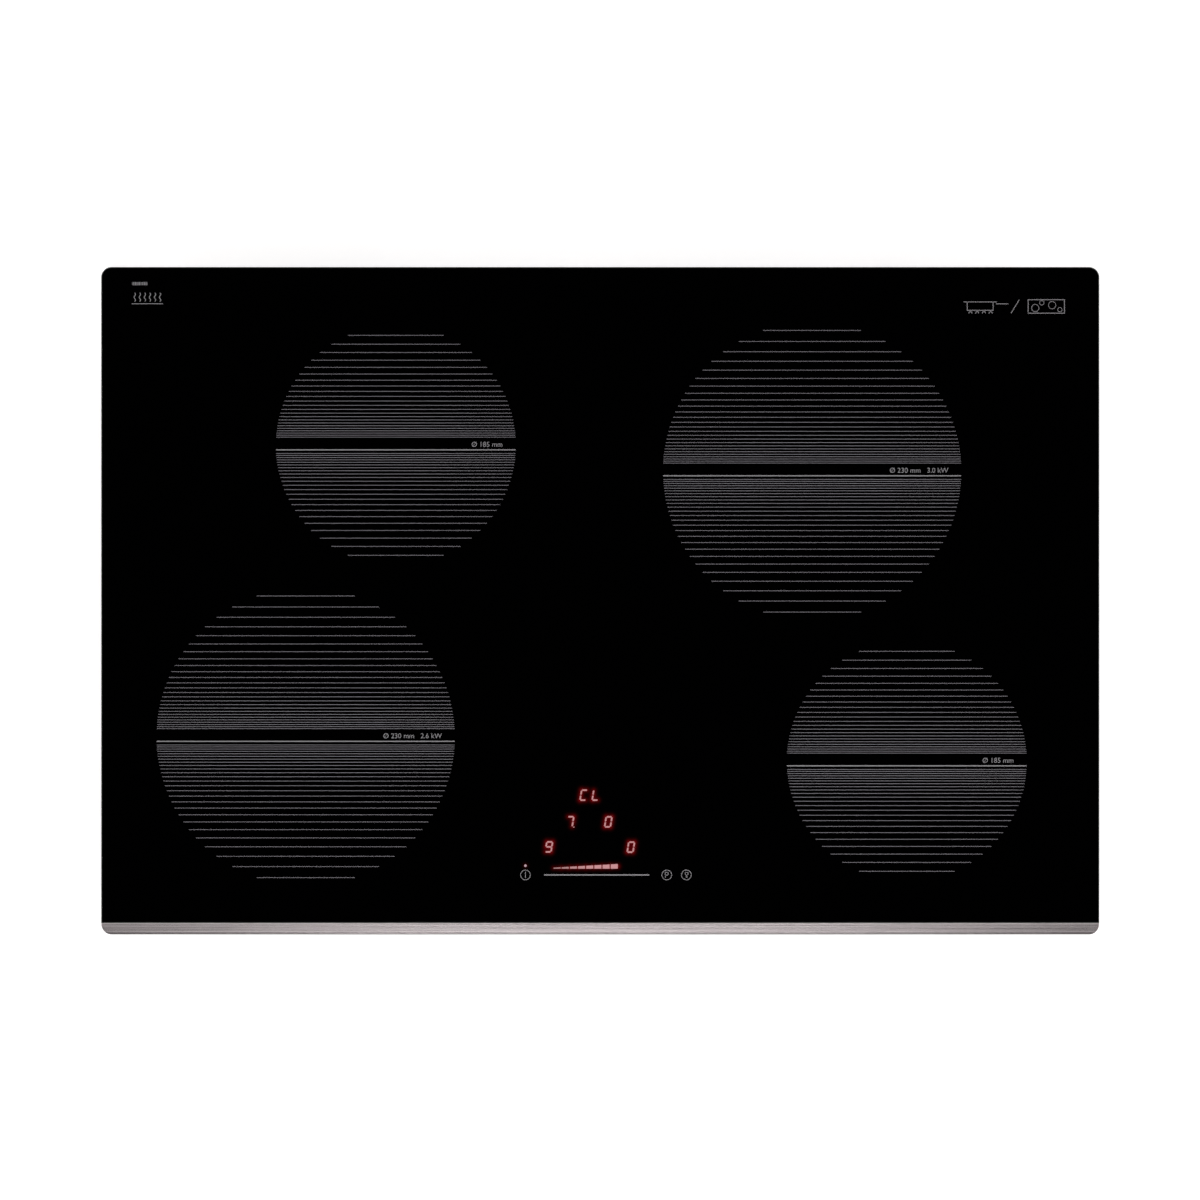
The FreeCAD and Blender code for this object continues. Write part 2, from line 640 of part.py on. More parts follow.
def coil_former(zone):
    """The moulded spider of a coil: plate with windows, rim, hub, three ears and ferrite ribs."""
    x, y, _ = ZONES[zone]
    body = new_body(f"coil_former_{zone}", x, y, 0)
    outer = coil_radius(zone) + S.former_rim
    plate = [(S.sensor_radius + 0.3, FORMER_UNDER), (outer + 1, FORMER_UNDER),
             (outer + 1, FORMER_TOP + 2), (coil_radius(zone) + 0.6, FORMER_TOP + 2),
             (coil_radius(zone) + 0.6, FORMER_TOP), (S.coil_eye - 2.4, FORMER_TOP),
             (S.coil_eye - 2.4, FORMER_TOP + 2), (S.coil_eye - 4.4, FORMER_TOP + 2),
             (S.coil_eye - 4.4, FORMER_TOP), (S.sensor_radius + 0.3 + S.former_hub, FORMER_TOP),
             (S.sensor_radius + 0.3, FORMER_TOP)]
    turned(body, sketch(body, "XZ_Plane", 0, [plate]))
    centres = [(as_size(outer + S.ear_reach) * round(math.cos(math.radians(a)), 6),
                as_size(outer + S.ear_reach) * round(math.sin(math.radians(a)), 6)) for a in EAR_ANGLES]
    for ex, ey in centres:
        pad(body, sketch(body, "XY_Plane", FORMER_UNDER, circles=[(ex, ey, S.ear_radius)]), S.former_thick)
    for ex, ey in centres:
        pocket(body, sketch(body, "XY_Plane", FORMER_TOP, circles=[(ex, ey, S.ear_hole)]), S.former_thick)
    half, near_r, far_r = S.ferrite_wide / 2 + 0.4, S.coil_eye + 6, coil_radius(zone) - 6
    rib = sketch(body, "XY_Plane", FERRITE_UNDER + 0.5, [
        rectangle(near_r, half, far_r, half + S.rib_thick),
        rectangle(near_r, -half - S.rib_thick, far_r, -half)])
    around(body, pad(body, rib, S.ferrite_tall - 0.5), rib, S.ferrite_count)
    step = math.pi / float(S.ferrite_count)
    low, high = near_r + 6, far_r - 4
    narrow = float(low) * math.tan(step) - float(half + S.rib_thick) / math.cos(step)
    broad = float(high) * math.tan(step) - float(half + S.rib_thick) / math.cos(step)
    corners = [(low, narrow), (low, -narrow), (high, -broad), (high, broad)]
    window = sketch(body, "XY_Plane", FORMER_TOP, [[turn_point(p, step) for p in corners]])
    around(body, pocket(body, window, S.former_thick), window, S.ferrite_count)
    keep(body)


def turn_point(point, angle):
    """A sketch point turned about the origin."""
    x, y = point
    cosine, sine = math.cos(angle), math.sin(angle)
    return x * cosine - y * sine, x * sine + y * cosine


def coil_ferrites(zone):
    """The flat ferrite bars under a coil."""
    x, y, _ = ZONES[zone]
    body = new_body(f"coil_ferrites_{zone}", x, y, 0)
    near_r, far_r, half = S.coil_eye + 5, coil_radius(zone) - 5, S.ferrite_wide / 2
    line = sketch(body, "XY_Plane", FERRITE_UNDER, [rectangle(near_r, -half, far_r, half)])
    around(body, pad(body, line, S.ferrite_tall), line, S.ferrite_count)
    keep(body)


def coil_mica(zone):
    """The insulating mica disc between a coil and the glass."""
    x, y, _ = ZONES[zone]
    body = new_body(f"coil_mica_{zone}", x, y, 0)
    circles = [(0, 0, coil_radius(zone) + S.former_rim), (0, 0, S.mica_eye)]
    pad(body, sketch(body, "XY_Plane", WINDING_TOP, circles=circles), S.mica_thick)
    keep(body)


def coil_sensor(zone):
    """The heat sensor in a coil's eye: a soft boot with its ceramic cap against the glass."""
    x, y, _ = ZONES[zone]
    body = new_body(f"coil_sensor_{zone}", x, y, 0)
    wide, cap = S.sensor_radius, S.sensor_radius * 0.55
    profile = [(0, FERRITE_UNDER), (wide * 0.6, FERRITE_UNDER), (wide * 0.6, FORMER_UNDER - 1),
               (wide + 1.2, FORMER_UNDER - 1), (wide + 1.2, FORMER_UNDER - 0.05),
               (wide, FORMER_UNDER - 0.05), (wide, FORMER_TOP + 0.6), (wide * 0.85, FORMER_TOP + 1.4),
               (cap, FORMER_TOP + 1.8), (cap, GLASS_UNDER), (0, GLASS_UNDER)]
    turned(body, sketch(body, "XZ_Plane", 0, [profile]))
    keep(body)


def coil_winding(zone):
    """The flat spiral of litz wire: half turns about two centres, each wider by half the pitch."""
    x, y, _ = ZONES[zone]
    pitch, wire = float(S.litz_pitch), float(S.litz_dia) / 2
    start, level = float(S.coil_eye) + wire, float(FORMER_TOP) + wire
    turns = int((float(coil_radius(zone)) - wire - start) / pitch)
    edges = []
    for k in range(2 * turns):
        radius = start + k * pitch / 2
        centre, way = (0, 1) if k % 2 == 0 else (pitch / 2, -1)
        ends = [V(centre + way * radius, 0, level), V(centre, way * radius, level),
                V(centre - way * radius, 0, level)]
        edges.append(Part.Arc(*ends).toShape())
    path = Part.Wire(edges)
    ring = Part.Wire(Part.makeCircle(wire, V(start, 0, level), V(0, 1, 0)))
    solid = path.makePipe(Part.Face(ring))
    share = solid.Volume / (math.pi * wire ** 2 * path.Length)
    if abs(share - 1) > 0.01:
        raise ValueError(f"winding {zone} holds {share:.3f} of its volume")
    made = DOC.addObject("Part::Feature", f"coil_winding_{zone}")
    made.Shape = solid
    place(made, x, y, 0)
    keep(made)


def coil_posts():
    """The shouldered posts that guide the coils and stop them at the top."""
    body = new_body("post")
    head_low = FORMER_TOP + S.post_play
    profile = [(0, TRAY_UNDER - 1), (S.post_head, TRAY_UNDER - 1), (S.post_head, TRAY_UNDER),
               (S.post_radius, TRAY_UNDER), (S.post_radius, head_low), (S.post_head, head_low),
               (S.post_head, head_low + S.post_head_tall * 0.7), (S.post_head * 0.8,
                head_low + S.post_head_tall), (0, head_low + S.post_head_tall)]
    turned(body, sketch(body, "XZ_Plane", 0, [profile]))
    keep(copies("coil_posts", body, ear_spots()))


def ear_spots():
    """A placement at every coil ear."""
    return [spot(*ear_centre(zone, angle), 0) for zone in ZONES for angle in EAR_ANGLES]


def coil_springs():
    """The springs that press the coils up against the glass, each wound along short arcs of its helix."""
    wire, radius = float(S.spring_wire), float(S.spring_radius)
    low, high = float(TRAY_TOP) + wire + 0.02, float(FORMER_UNDER) - wire - 0.02
    steps = 8 * int(DRIVING["spring_turns"])
    points = [V(radius * math.cos(k * math.pi / 4), radius * math.sin(k * math.pi / 4),
                low + (high - low) * k / steps) for k in range(steps + 1)]
    path = Part.Wire([Part.Arc(*points[k:k + 3]).toShape() for k in range(0, steps, 2)])
    slope = V(0, math.pi / 4 * radius, (high - low) / steps)
    ring = Part.Wire([Part.makeCircle(wire, points[0], slope, 60 * k, 60 * k + 60) for k in range(6)])
    coil = path.makePipeShell([ring], True, False)
    made = DOC.addObject("Part::Feature", "coil_springs")
    made.Shape = Part.makeCompound([placed(coil, place_) for place_ in ear_spots()])
    keep(made)


def smooth_tube(points, radius):
    """A round tube along straight runs joined by tangent arcs as large as the runs allow."""
    points = [V(*[float(c) for c in p]) for p in points]
    edges, last = [], points[0]
    for a, b, c in zip(points, points[1:], points[2:]):
        into, out = (b - a).normalize(), (c - b).normalize()
        reach = 0.45 * min(a.distanceToPoint(b), b.distanceToPoint(c))
        start, end = b - into * reach, b + out * reach
        half = into.getAngle(out) / 2
        bend = reach / math.tan(half)
        inward = (out - into).normalize()
        middle = b + inward * (bend / math.cos(half) - bend)
        edges += [Part.LineSegment(last, start).toShape(), Part.Arc(start, middle, end).toShape()]
        last = end
    edges.append(Part.LineSegment(last, points[-1]).toShape())
    path = Part.Wire(edges)
    ring = Part.Wire(Part.makeCircle(radius, points[0], points[1] - points[0]))
    solid = path.makePipeShell([ring], True, False)
    share = solid.Volume / (math.pi * radius ** 2 * path.Length)
    if abs(share - 1) > 0.02:
        raise ValueError(f"a lead holds {share:.3f} of its volume")
    return solid


def coil_leads():
    """Two leads from each coil's eye, down through the tray and over to the power board's terminals."""
    tubes = []
    high, level, low = FORMER_UNDER - 2, -S.lead_level, BOARD_TOP + S.stud_tall
    for zone in ZONES:
        way = lead_side(zone)
        for row in (0, 1):
            x, y = lead_start(zone, row)
            end_x = -way * (S.board_inner + S.stud_inset)
            end_y = TERMINAL_ROWS[zone.split("_")[0]] + row * S.stud_pitch
            tubes.append(smooth_tube([(x, y, high), (x, y, level), (end_x, end_y, level),
                                      (end_x, end_y, low)], float(S.lead_radius)))
    made = DOC.addObject("Part::Feature", "coil_leads")
    made.Shape = Part.makeCompound(tubes)
    keep(made)


def lead_start(zone, row):
    """Where one of a coil's two leads leaves the coil: the first is nearer to the cooktop's middle."""
    x, y, _ = ZONES[zone]
    return x - lead_side(zone) * (S.lead_gap * (row + 1.5)), y - S.lead_reach


# ---------------------------------------------------------------- power electronics

def power_board(side, sign):
    """A power board with its coil terminals and plug sockets."""
    low, high = S.board_inner, S.board_outer
    inset, edge = low + S.stud_inset, low + S.stud_inset - S.socket_wide / 2
    sheet = block(f"board_{side}", *in_order((sign * low, S.board_front, BOARD_TOP - S.board_thick),
                                             (sign * high, S.board_back, BOARD_TOP)))
    studs = [rod(f"terminal_{side}_{end}_{row}", sign * inset, start + row * S.stud_pitch, BOARD_TOP,
                 S.stud_radius, S.stud_tall) for end, start in TERMINAL_ROWS.items() for row in (0, 1)]
    sockets = [block(f"socket_{side}_{n}", *in_order(
        (sign * edge, y, BOARD_TOP),
        (sign * (edge + S.socket_wide), y + S.socket_long, BOARD_TOP + S.socket_tall)))
        for n, y in enumerate(SOCKET_ROWS)]
    holes = [rod(f"hole_{side}_{n}", sign * x, y, BOARD_TOP - 3, S.stud_hole, 4)
             for n, (x, y) in enumerate(standoff_points())]
    keep(cut(f"power_board_{side}", fuse(f"board_set_{side}", [sheet, *studs, *sockets]), holes))


def standoff_points():
    """Where the boards stand on their standoffs, for the right-hand board."""
    margin = S.board_margin
    xs = (S.board_inner + margin, S.board_outer - margin)
    ys = (S.board_front + margin, (S.board_front + S.board_back) / 2, S.board_back - margin)
    return [(x, y) for x in xs for y in ys]


def board_standoffs():
    """The nylon standoffs under the power boards, with a snap pin through each board hole."""
    body = new_body("standoff")
    wide, pin, barb = S.standoff_radius, S.stud_hole - 0.2, S.stud_hole + 0.5
    under = BOARD_TOP - S.board_thick
    profile = [(0, PAN_FLOOR), (wide + 2, PAN_FLOOR), (wide + 2, PAN_FLOOR + 1), (wide, PAN_FLOOR + 1.6),
               (wide, under), (pin, under), (pin, BOARD_TOP + 0.1), (barb, BOARD_TOP + 0.2),
               (pin - 0.3, BOARD_TOP + 2.4), (0, BOARD_TOP + 2.4)]
    turned(body, sketch(body, "XZ_Plane", 0, [profile]))
    spots = [spot(sign * x, y, 0) for sign in SIDES.values() for x, y in standoff_points()]
    keep(copies("board_standoffs", body, spots))


def heatsink(side, sign):
    """An extruded heatsink: a base plate with upright fins along the air stream."""
    body = new_body(f"heatsink_{side}", sign * (S.sink_inner + S.sink_wide / 2), 0, 0)
    low, half = BOARD_TOP + 0.2, S.sink_wide / 2
    high, last = low + S.sink_tall, int(DRIVING["fin_count"]) - 1
    pitch = (S.sink_wide - S.fin_thick) / last
    comb = [(-half, low), (half, low)]
    for n in range(last, -1, -1):
        left, top = n * pitch - half, high - (6 if n in (0, last) else 0)
        comb += [(left + S.fin_thick, top), (left, top)]
        if n:
            comb += [(left, low + S.sink_foot), (left - pitch + S.fin_thick, low + S.sink_foot)]
    pad(body, sketch(body, "XZ_Plane", -S.sink_front, [comb]), S.sink_long, backwards=True)
    keep(body)


def power_transistors():
    """The flat transistors and, wider, the rectifier that are clamped to each heatsink's side."""
    face, count = S.sink_inner, int(DRIVING["chip_count"])
    chips = [block(f"transistor_{side}_{n}", *in_order(
        (sign * (face - S.chip_deep), S.sink_front + (n + 0.5) * S.chip_pitch, BOARD_TOP),
        (sign * face, S.sink_front + (n + 0.5) * S.chip_pitch + S.chip_wide * (1.5 if n == count - 1 else 1),
         BOARD_TOP + S.chip_tall)))
        for side, sign in SIDES.items() for n in range(count)]
    keep(group("power_transistors", chips))


def bus_capacitors():
    """Film capacitors as upright blocks, and electrolytic ones as cans."""
    film = new_body("film_capacitor")
    half, deep = S.film_wide / 2, S.film_deep / 2
    case = pad(film, sketch(film, "XY_Plane", 0, [rectangle(-half, -deep, half, deep)]), S.film_tall)
    round_edges(film, case, 1.2, lambda e: not level_at(e, 0))
    can = new_body("can_capacitor")
    wide, tall, neck = S.can_radius, S.can_tall, S.can_radius - 0.6
    profile = [(0, 0), (wide - 0.4, 0), (wide, 0.4), (wide, 2), (neck, 2.6), (wide, 3.2),
               (wide, tall - 0.6), (neck, tall), (0, tall)]
    turned(can, sketch(can, "XZ_Plane", 0, [profile]))
    DOC.recompute()
    solids = []
    for sign in SIDES.values():
        solids += [placed(film.Shape, spot(sign * S.film_x, S.film_y + n * S.film_pitch, BOARD_TOP))
                   for n in range(4)]
        solids += [placed(can.Shape, spot(sign * (S.can_x + n * S.can_pitch), S.can_y, BOARD_TOP))
                   for n in range(3)]
    made = DOC.addObject("Part::Feature", "bus_capacitors")
    made.Shape = Part.makeCompound(solids)
    keep(made)


def power_chokes():
    """The ring chokes that lie flat on the power boards."""
    rings = []
    for side, sign in SIDES.items():
        for n, y in enumerate(CHOKE_ROWS):
            ring = DOC.addObject("Part::Torus", f"choke_{side}_{n}")
            bind(ring, "Radius1", S.choke_ring)
            bind(ring, "Radius2", S.choke_wire)
            place(ring, sign * S.choke_x, y, BOARD_TOP + S.choke_wire + 0.05)
            rings.append(ring)
    keep(group("power_chokes", rings))


# ---------------------------------------------------------------- blowers

BLOWER_LOW = PAN_FLOOR + 0.3
BLOWER_HIGH = BLOWER_LOW + S.blower_tall


def blower_feet(sign):
    """Where the three screw feet of a blower are, from its middle."""
    reach = S.foot_reach
    return ((-reach, -reach), (reach, -reach), (-sign * reach, reach))


def fan_housing(side, sign):
    """A flat blower's volute: inlet below, outlet towards the heatsink."""
    x, y, wall = sign * S.blower_x, S.blower_y, S.blower_wall
    outlet_y, far, half = S.board_front - 1, x + sign * S.volute_radius, S.foot_half
    drum = rod(f"drum_{side}", x, y, BLOWER_LOW, S.volute_radius, S.blower_tall)
    duct = block(f"duct_{side}", *in_order((far, y, BLOWER_LOW),
                                           (far - sign * S.duct_wide, outlet_y, BLOWER_HIGH)))
    feet = [block(f"blower_foot_{side}_{n}", (x + dx - half, y + dy - half, BLOWER_LOW),
                  (x + dx + half, y + dy + half, BLOWER_LOW + S.foot_tall))
            for n, (dx, dy) in enumerate(blower_feet(sign))]
    cavity = rod(f"cavity_{side}", x, y, BLOWER_LOW + wall, S.cavity_radius, S.blower_tall - 2 * wall)
    way = block(f"way_{side}", *in_order(
        (far - sign * wall, y, BLOWER_LOW + wall),
        (far - sign * (S.duct_wide - wall), outlet_y + 5, BLOWER_HIGH - wall)))
    inlet = rod(f"inlet_{side}", x, y, BLOWER_LOW - 1, S.inlet_radius, wall + 2)
    holes = [rod(f"blower_hole_{side}_{n}", x + dx * 1.05, y + dy * 1.05, BLOWER_LOW - 1, S.stud_hole, 5)
             for n, (dx, dy) in enumerate(blower_feet(sign))]
    whole = fuse(f"volute_{side}", [drum, duct, *feet])
    keep(cut(f"fan_housing_{side}", whole, [cavity, way, inlet, *holes]))


def fan_impeller(side, sign):
    """A blower wheel: a hub cup over the motor, a web, forward-curved blades and two rings."""
    body = new_body(f"fan_impeller_{side}", sign * S.blower_x, S.blower_y, 0)
    low, high = BLOWER_LOW + S.wheel_gap, BLOWER_HIGH - S.wheel_gap
    hub, rim = S.hub_radius, S.wheel_radius
    bore = S.shaft_radius + 0.06
    profile = [(bore, low + 4), (hub - 3, low + 4), (hub, low + 7), (hub, high - 2.5),
               (rim, high - 2.5), (rim, high - 1), (hub - 1.5, high - 1), (hub - 1.5, low + 8),
               (hub - 4, low + 6), (bore + 2, low + 6), (bore + 2, low + 11), (bore, low + 11)]
    turned(body, sketch(body, "XZ_Plane", 0, [profile]))
    inner = rim - 9
    ring = sketch(body, "XY_Plane", low, circles=[(0, 0, rim), (0, 0, inner + 4)])
    pad(body, ring, 1.2)
    blade = [(inner, -2.2), (inner + 3, 0.6), (rim - 0.8, 1.5), (rim - 0.8, 2.6), (inner + 2.6, 1.7),
             (inner - 0.4, -1.4)]
    line = sketch(body, "XY_Plane", low, [blade])
    around(body, pad(body, line, high - low - 1.5), line, S.blade_count)
    keep(body)


def fan_stators():
    """The motor stators that hang from the blower housings, each with its shaft."""
    body = new_body("stator")
    low, top = BLOWER_LOW + S.wheel_gap, BLOWER_HIGH - S.blower_wall
    shaft, hub = S.shaft_radius, S.hub_radius
    profile = [(0, low + 3), (shaft, low + 3), (shaft, low + 11.6), (hub - 3, low + 11.6),
               (hub - 3, top - 3), (hub - 7, top - 3), (hub - 7, top), (0, top)]
    turned(body, sketch(body, "XZ_Plane", 0, [profile]))
    spots = [spot(sign * S.blower_x, S.blower_y, 0) for sign in SIDES.values()]
    keep(copies("fan_stators", body, spots))


# ---------------------------------------------------------------- touch control

def control_corners(inset=0):
    """The control unit's outline, or a smaller one inside it."""
    wide, deep = S.control_wide / 2 - inset, S.control_deep / 2 - inset
    return ((S.control_x - wide, S.control_y - deep), (S.control_x + wide, S.control_y + deep))


# The lit digits as seen from above: two for the timer and one for each zone.
DIGITS = ((-13.4, -150.4), (-3.6, -150.4), (-22.2, -171), (6.2, -171), (-39.4, -190.5), (23.6, -190.5))
LEVEL_BAR = ((-37.5, -207.6), (15.5, -201.6))
STANDBY_LAMP = (-57.8, -204.3)
# The keys as seen from above: on/off, eight steps along the slider, boost and key lock.
KEYS = (-57.8, *(-39 + 10.6 * n for n in range(8)), 51.4, 66.5)


def carrier_floor():
    """The level of the control unit's inner floor."""
    return -S.control_level - S.board_thick - S.control_foot


def control_carrier():
    """The moulded tray of the control unit, on four legs that stand on the coil tray."""
    (x0, y0), (x1, y1) = control_corners()
    (a0, b0), (a1, b1) = control_corners(S.control_wall)
    floor = carrier_floor()
    under = floor - S.control_wall
    shell = block("carrier_block", (x0, y0, under), (x1, y1, GLASS_UNDER - 0.7))
    inside = block("carrier_inside", (a0, b0, floor), (a1, b1, GLASS_UNDER + 1))
    way = rod("carrier_loom_way", S.loom_x, S.loom_y, under - 1, S.loom_hole, 4)
    bare = cut("carrier_bare", shell, [inside, way])
    inset = S.leg_inset
    corners = [(x, y) for x in (x0 + inset, x1 - inset) for y in (y0 + inset, y1 - inset)]
    legs = [rod(f"carrier_leg_{n}", x, y, TRAY_TOP, S.leg_radius, under - TRAY_TOP)
            for n, (x, y) in enumerate(corners)]
    rests = [rod(f"carrier_rest_{n}", x, y, floor, S.leg_radius - 1, S.control_foot)
             for n, (x, y) in enumerate(corners)]
    keep(fuse("control_carrier", [bare, *legs, *rests]))


def control_board():
    """The control unit's circuit board, with its processor and the socket of its cable."""
    (x0, y0), (x1, y1) = control_corners(S.control_wall + 0.5)
    top, under = -S.control_level, -S.control_level - S.board_thick
    sheet = block("touch_board", (x0, y0, under), (x1, y1, top))
    chip = block("processor", (S.loom_x, S.control_y, top), (S.loom_x + 12, S.control_y + 12, top + 1.4))
    half = S.loom_radius + 0.5
    socket = block("loom_socket", (S.loom_x - half, S.loom_y - half, under - 1.6),
                   (S.loom_x + half, S.loom_y + half, under))
    keep(fuse("control_board", [sheet, chip, socket]))


def display_modules():
    """The lit modules under the glass: six digits, the level bar and the standby lamp."""
    low, high = -S.control_level, S.digit_body - S.control_level
    wide, tall = S.digit_wide / 2, S.digit_tall / 2
    pieces = [block(f"digit_{n}", (x - wide, y - tall, low), (x + wide, y + tall, high))
              for n, (x, y) in enumerate(DIGITS)]
    pieces.append(block("level_bar", (*LEVEL_BAR[0], low), (*LEVEL_BAR[1], high)))
    pieces.append(rod("standby_lamp", *STANDBY_LAMP, low, 1.5, S.digit_body))
    keep(group("display_modules", pieces))


def touch_pads():
    """The conductive foam pads between the board and the glass."""
    low = -S.control_level
    pieces = [rod(f"pad_{n}", x, S.key_y - 1.4, low, S.pad_radius, GLASS_UNDER - low)
              for n, x in enumerate(KEYS)]
    keep(group("touch_pads", pieces))


def control_cable():
    """The wire loom from the control unit down through the tray to the right-hand power board."""
    start = -S.control_level - S.board_thick - 1.6
    x, y = S.board_inner + S.stud_inset, SOCKET_ROWS[0] + S.socket_long / 2
    route = [(S.loom_x, S.loom_y, start), (S.loom_x, S.loom_y, -S.loom_level),
             (x, y, -S.loom_level), (x, y, BOARD_TOP + S.socket_tall)]
    made = DOC.addObject("Part::Feature", "control_cable")
    made.Shape = smooth_tube(route, float(S.loom_radius))
    keep(made)


# ---------------------------------------------------------------- mains connection

def cable_inlet():
    """The block in the terminal bay that the mains cable enters by."""
    half, back = S.inlet_block / 2, BAY_BACK - 1
    foot = block("inlet_foot", (S.bay_x - half, back - S.inlet_long, BAY_ROOF - S.inlet_block + 4),
                 (S.bay_x + half, back, BAY_ROOF))
    bore = cross_rod("inlet_bore_way", S.bay_x, back - S.inlet_long - 1, BAY_ROOF - S.inlet_block / 2 + 2,
                     S.inlet_bore, S.inlet_long + 2)
    keep(cut("cable_inlet", foot, [bore]))


def terminal_block():
    """The terminal strip on the bay's roof, with wire funnels and screw wells."""
    count, pitch = int(DRIVING["pole_count"]), S.pole_pitch
    low, front, under = S.bay_x - pitch * count / 2, BAY_FRONT + 6, BAY_ROOF - S.strip_tall
    body = block("strip", (low, front, under), (low + pitch * count, front + S.strip_deep, BAY_ROOF))
    poles = [low + pitch * (n + 0.5) for n in range(count)]
    wells = [rod(f"well_{n}", x, front + 6, under - 1, 2.6, 10) for n, x in enumerate(poles)]
    funnels = [cross_rod(f"funnel_{n}", x, front + S.strip_deep / 2, under + 5, 2.2, 10)
               for n, x in enumerate(poles)]
    keep(cut("terminal_block", body, [*wells, *funnels]))


def hinge_rod(name, radius, reach):
    """A rod along the terminal cover's hinge line, reaching past both of the cover's sides."""
    half = S.bay_wide / 2 - S.cover_gap + reach
    made = rod(name, S.bay_x - half, BAY_FRONT + S.cover_gap + S.cover_hinge,
               PAN_UNDER + S.cover_hinge + 0.2, radius, 2 * half)
    made.Placement.Rotation = FreeCAD.Rotation(V(0, 1, 0), 90)
    return made


def terminal_cover():
    """The hinged tub that closes the terminal bay, notched round the cable inlet."""
    gap, wall = S.cover_gap, S.cover_wall
    x0, x1 = S.bay_x - S.bay_wide / 2 + gap, S.bay_x + S.bay_wide / 2 - gap
    y0, y1 = BAY_FRONT + gap, BAY_BACK - 0.5
    low, high = PAN_UNDER + 0.2, BAY_ROOF - gap
    body = new_body("cover_tub")
    tub = pad(body, sketch(body, "XY_Plane", low, [rectangle(x0, y0, x1, y1)]), high - low)
    round_edges(body, tub, S.cover_hinge, lambda e: level_at(e, low) and near(e.BoundBox.YMax, y0))
    inside = block("cover_inside", (x0 + wall, y0 + wall, low + wall), (x1 - wall, y1 - wall, high + 1))
    half = S.inlet_block / 2 + 0.6
    notch = block("cover_notch", (S.bay_x - half, y1 - wall - S.inlet_long, BAY_ROOF - S.inlet_block + 3.4),
                  (S.bay_x + half, y1 + 1, high + 1))
    swing = block("cover_swing", (x0 - 1, y0 - 1, low + S.cover_front), (x1 + 1, y0 + wall + 4, high + 1))
    open_tub = cut("cover_open", body, [inside, notch, swing])
    pins = cut("cover_pins", hinge_rod("pin_rod", S.cover_pin, gap + S.sheet_thick),
               [block("pin_gap", (x0 + wall, y0 - 1, low - 1), (x1 - wall, y1, high))])
    keep(fuse("terminal_cover", [open_tub, pins]))


# ---------------------------------------------------------------- worktop clamps

def clamp_axis_y():
    """How far a clamp's screw stands from the X axis."""
    return S.clamp_y + S.pocket_long / 2 - S.clamp_hub - 2


def clamp_screw(corner, sx, sy):
    """The upright screw of a worktop clamp, driven from below the pan."""
    body = new_body(f"clamp_screw_{corner}", sx * CLAMP_X, sy * clamp_axis_y(), 0)
    low, top = -S.pocket_floor - S.sheet_thick, -S.tray_level - 1.6
    head, shank = S.clamp_screw_head, S.clamp_screw
    profile = [(0, low - 3.2), (head, low - 3.2), (head, low - 0.1), (shank, low - 0.1), (shank, top - 0.6),
               (shank * 0.7, top), (0, top)]
    turned(body, sketch(body, "XZ_Plane", 0, [profile]))
    slot = sketch(body, "XY_Plane", low - 3.2, [rectangle(-head * 0.7, -0.6, head * 0.7, 0.6)])
    pocket(body, slot, 1.4, backwards=True)
    keep(body)


def clamp_bracket(corner, sx, sy):
    """The arm of a worktop clamp: a hub on the screw and a strip with an upturned, toothed end."""
    body = new_body(f"clamp_bracket_{corner}", sx * CLAMP_X, sy * clamp_axis_y(), 0)
    low = -S.pocket_floor + 0.6
    hub = sketch(body, "XY_Plane", low, circles=[(0, 0, S.clamp_hub)])
    pad(body, hub, S.clamp_hub_tall)
    half = S.clamp_wide / 2
    end = S.clamp_arm - S.clamp_lip
    (ax, ay), (bx, by) = in_order((-half, 0), (half, -sy * S.clamp_arm))
    pad(body, sketch(body, "XY_Plane", low, [rectangle(ax, ay, bx, by)]), S.clamp_thick)
    (ax, ay), (bx, by) = in_order((-half, -sy * end), (half, -sy * S.clamp_arm))
    pad(body, sketch(body, "XY_Plane", low, [rectangle(ax, ay, bx, by)]), S.clamp_hub_tall)
    hole = sketch(body, "XY_Plane", low + S.clamp_hub_tall, circles=[(0, 0, S.clamp_screw + 0.08)])
    pocket(body, hole, S.clamp_hub_tall)
    teeth = [(-half - 1 + n * 2.4, low + S.clamp_hub_tall + 0.01) for n in range(5)]
    outline = [tooth for x, z in teeth for tooth in ((x, z), (x + 1.2, z - 1.2))]
    outline += [(teeth[-1][0] + 2.4, teeth[-1][1]), (teeth[-1][0] + 2.4, low + S.clamp_hub_tall + 2),
                (teeth[0][0], low + S.clamp_hub_tall + 2)]
    front = end - 1 if sy > 0 else -S.clamp_arm - 1
    pocket(body, sketch(body, "XZ_Plane", front, [outline]), S.clamp_lip + 2, backwards=True)
    keep(body)


# ---------------------------------------------------------------- build and write

def build():
    """Builds every sub-part."""
    for make in (glass_plate, front_trim, seal_gasket, glass_adhesive, support_frame, base_pan,
                 case_screws, coil_tray, coil_posts, coil_springs, coil_leads, board_standoffs,
                 power_transistors, bus_capacitors, power_chokes, fan_stators, control_carrier,
                 control_board, display_modules, touch_pads, control_cable, cable_inlet,
                 terminal_block, terminal_cover):
        make()
    for zone in ZONES:
        for make in (coil_former, coil_winding, coil_ferrites, coil_mica, coil_sensor):
            make(zone)
    for side, sign in SIDES.items():
        for make in (power_board, heatsink, fan_housing, fan_impeller):
            make(side, sign)
    for corner, (sx, sy) in CORNERS.items():
        clamp_screw(corner, sx, sy)
        clamp_bracket(corner, sx, sy)
    DOC.recompute()


def check():
    """Stops if any feature failed or any sub-part isn't made of valid solids."""
    broken = [o.Name for o in DOC.Objects if {"Invalid", "Error"} & set(o.State)]
    if broken:
        raise ValueError(f"these features failed: {broken}")
    for part in PARTS:
        shape = part.Shape
        if shape.isNull() or not shape.isValid() or not shape.Solids or shape.Volume <= 0:
            raise ValueError(f"{part.Label} isn't valid solids")


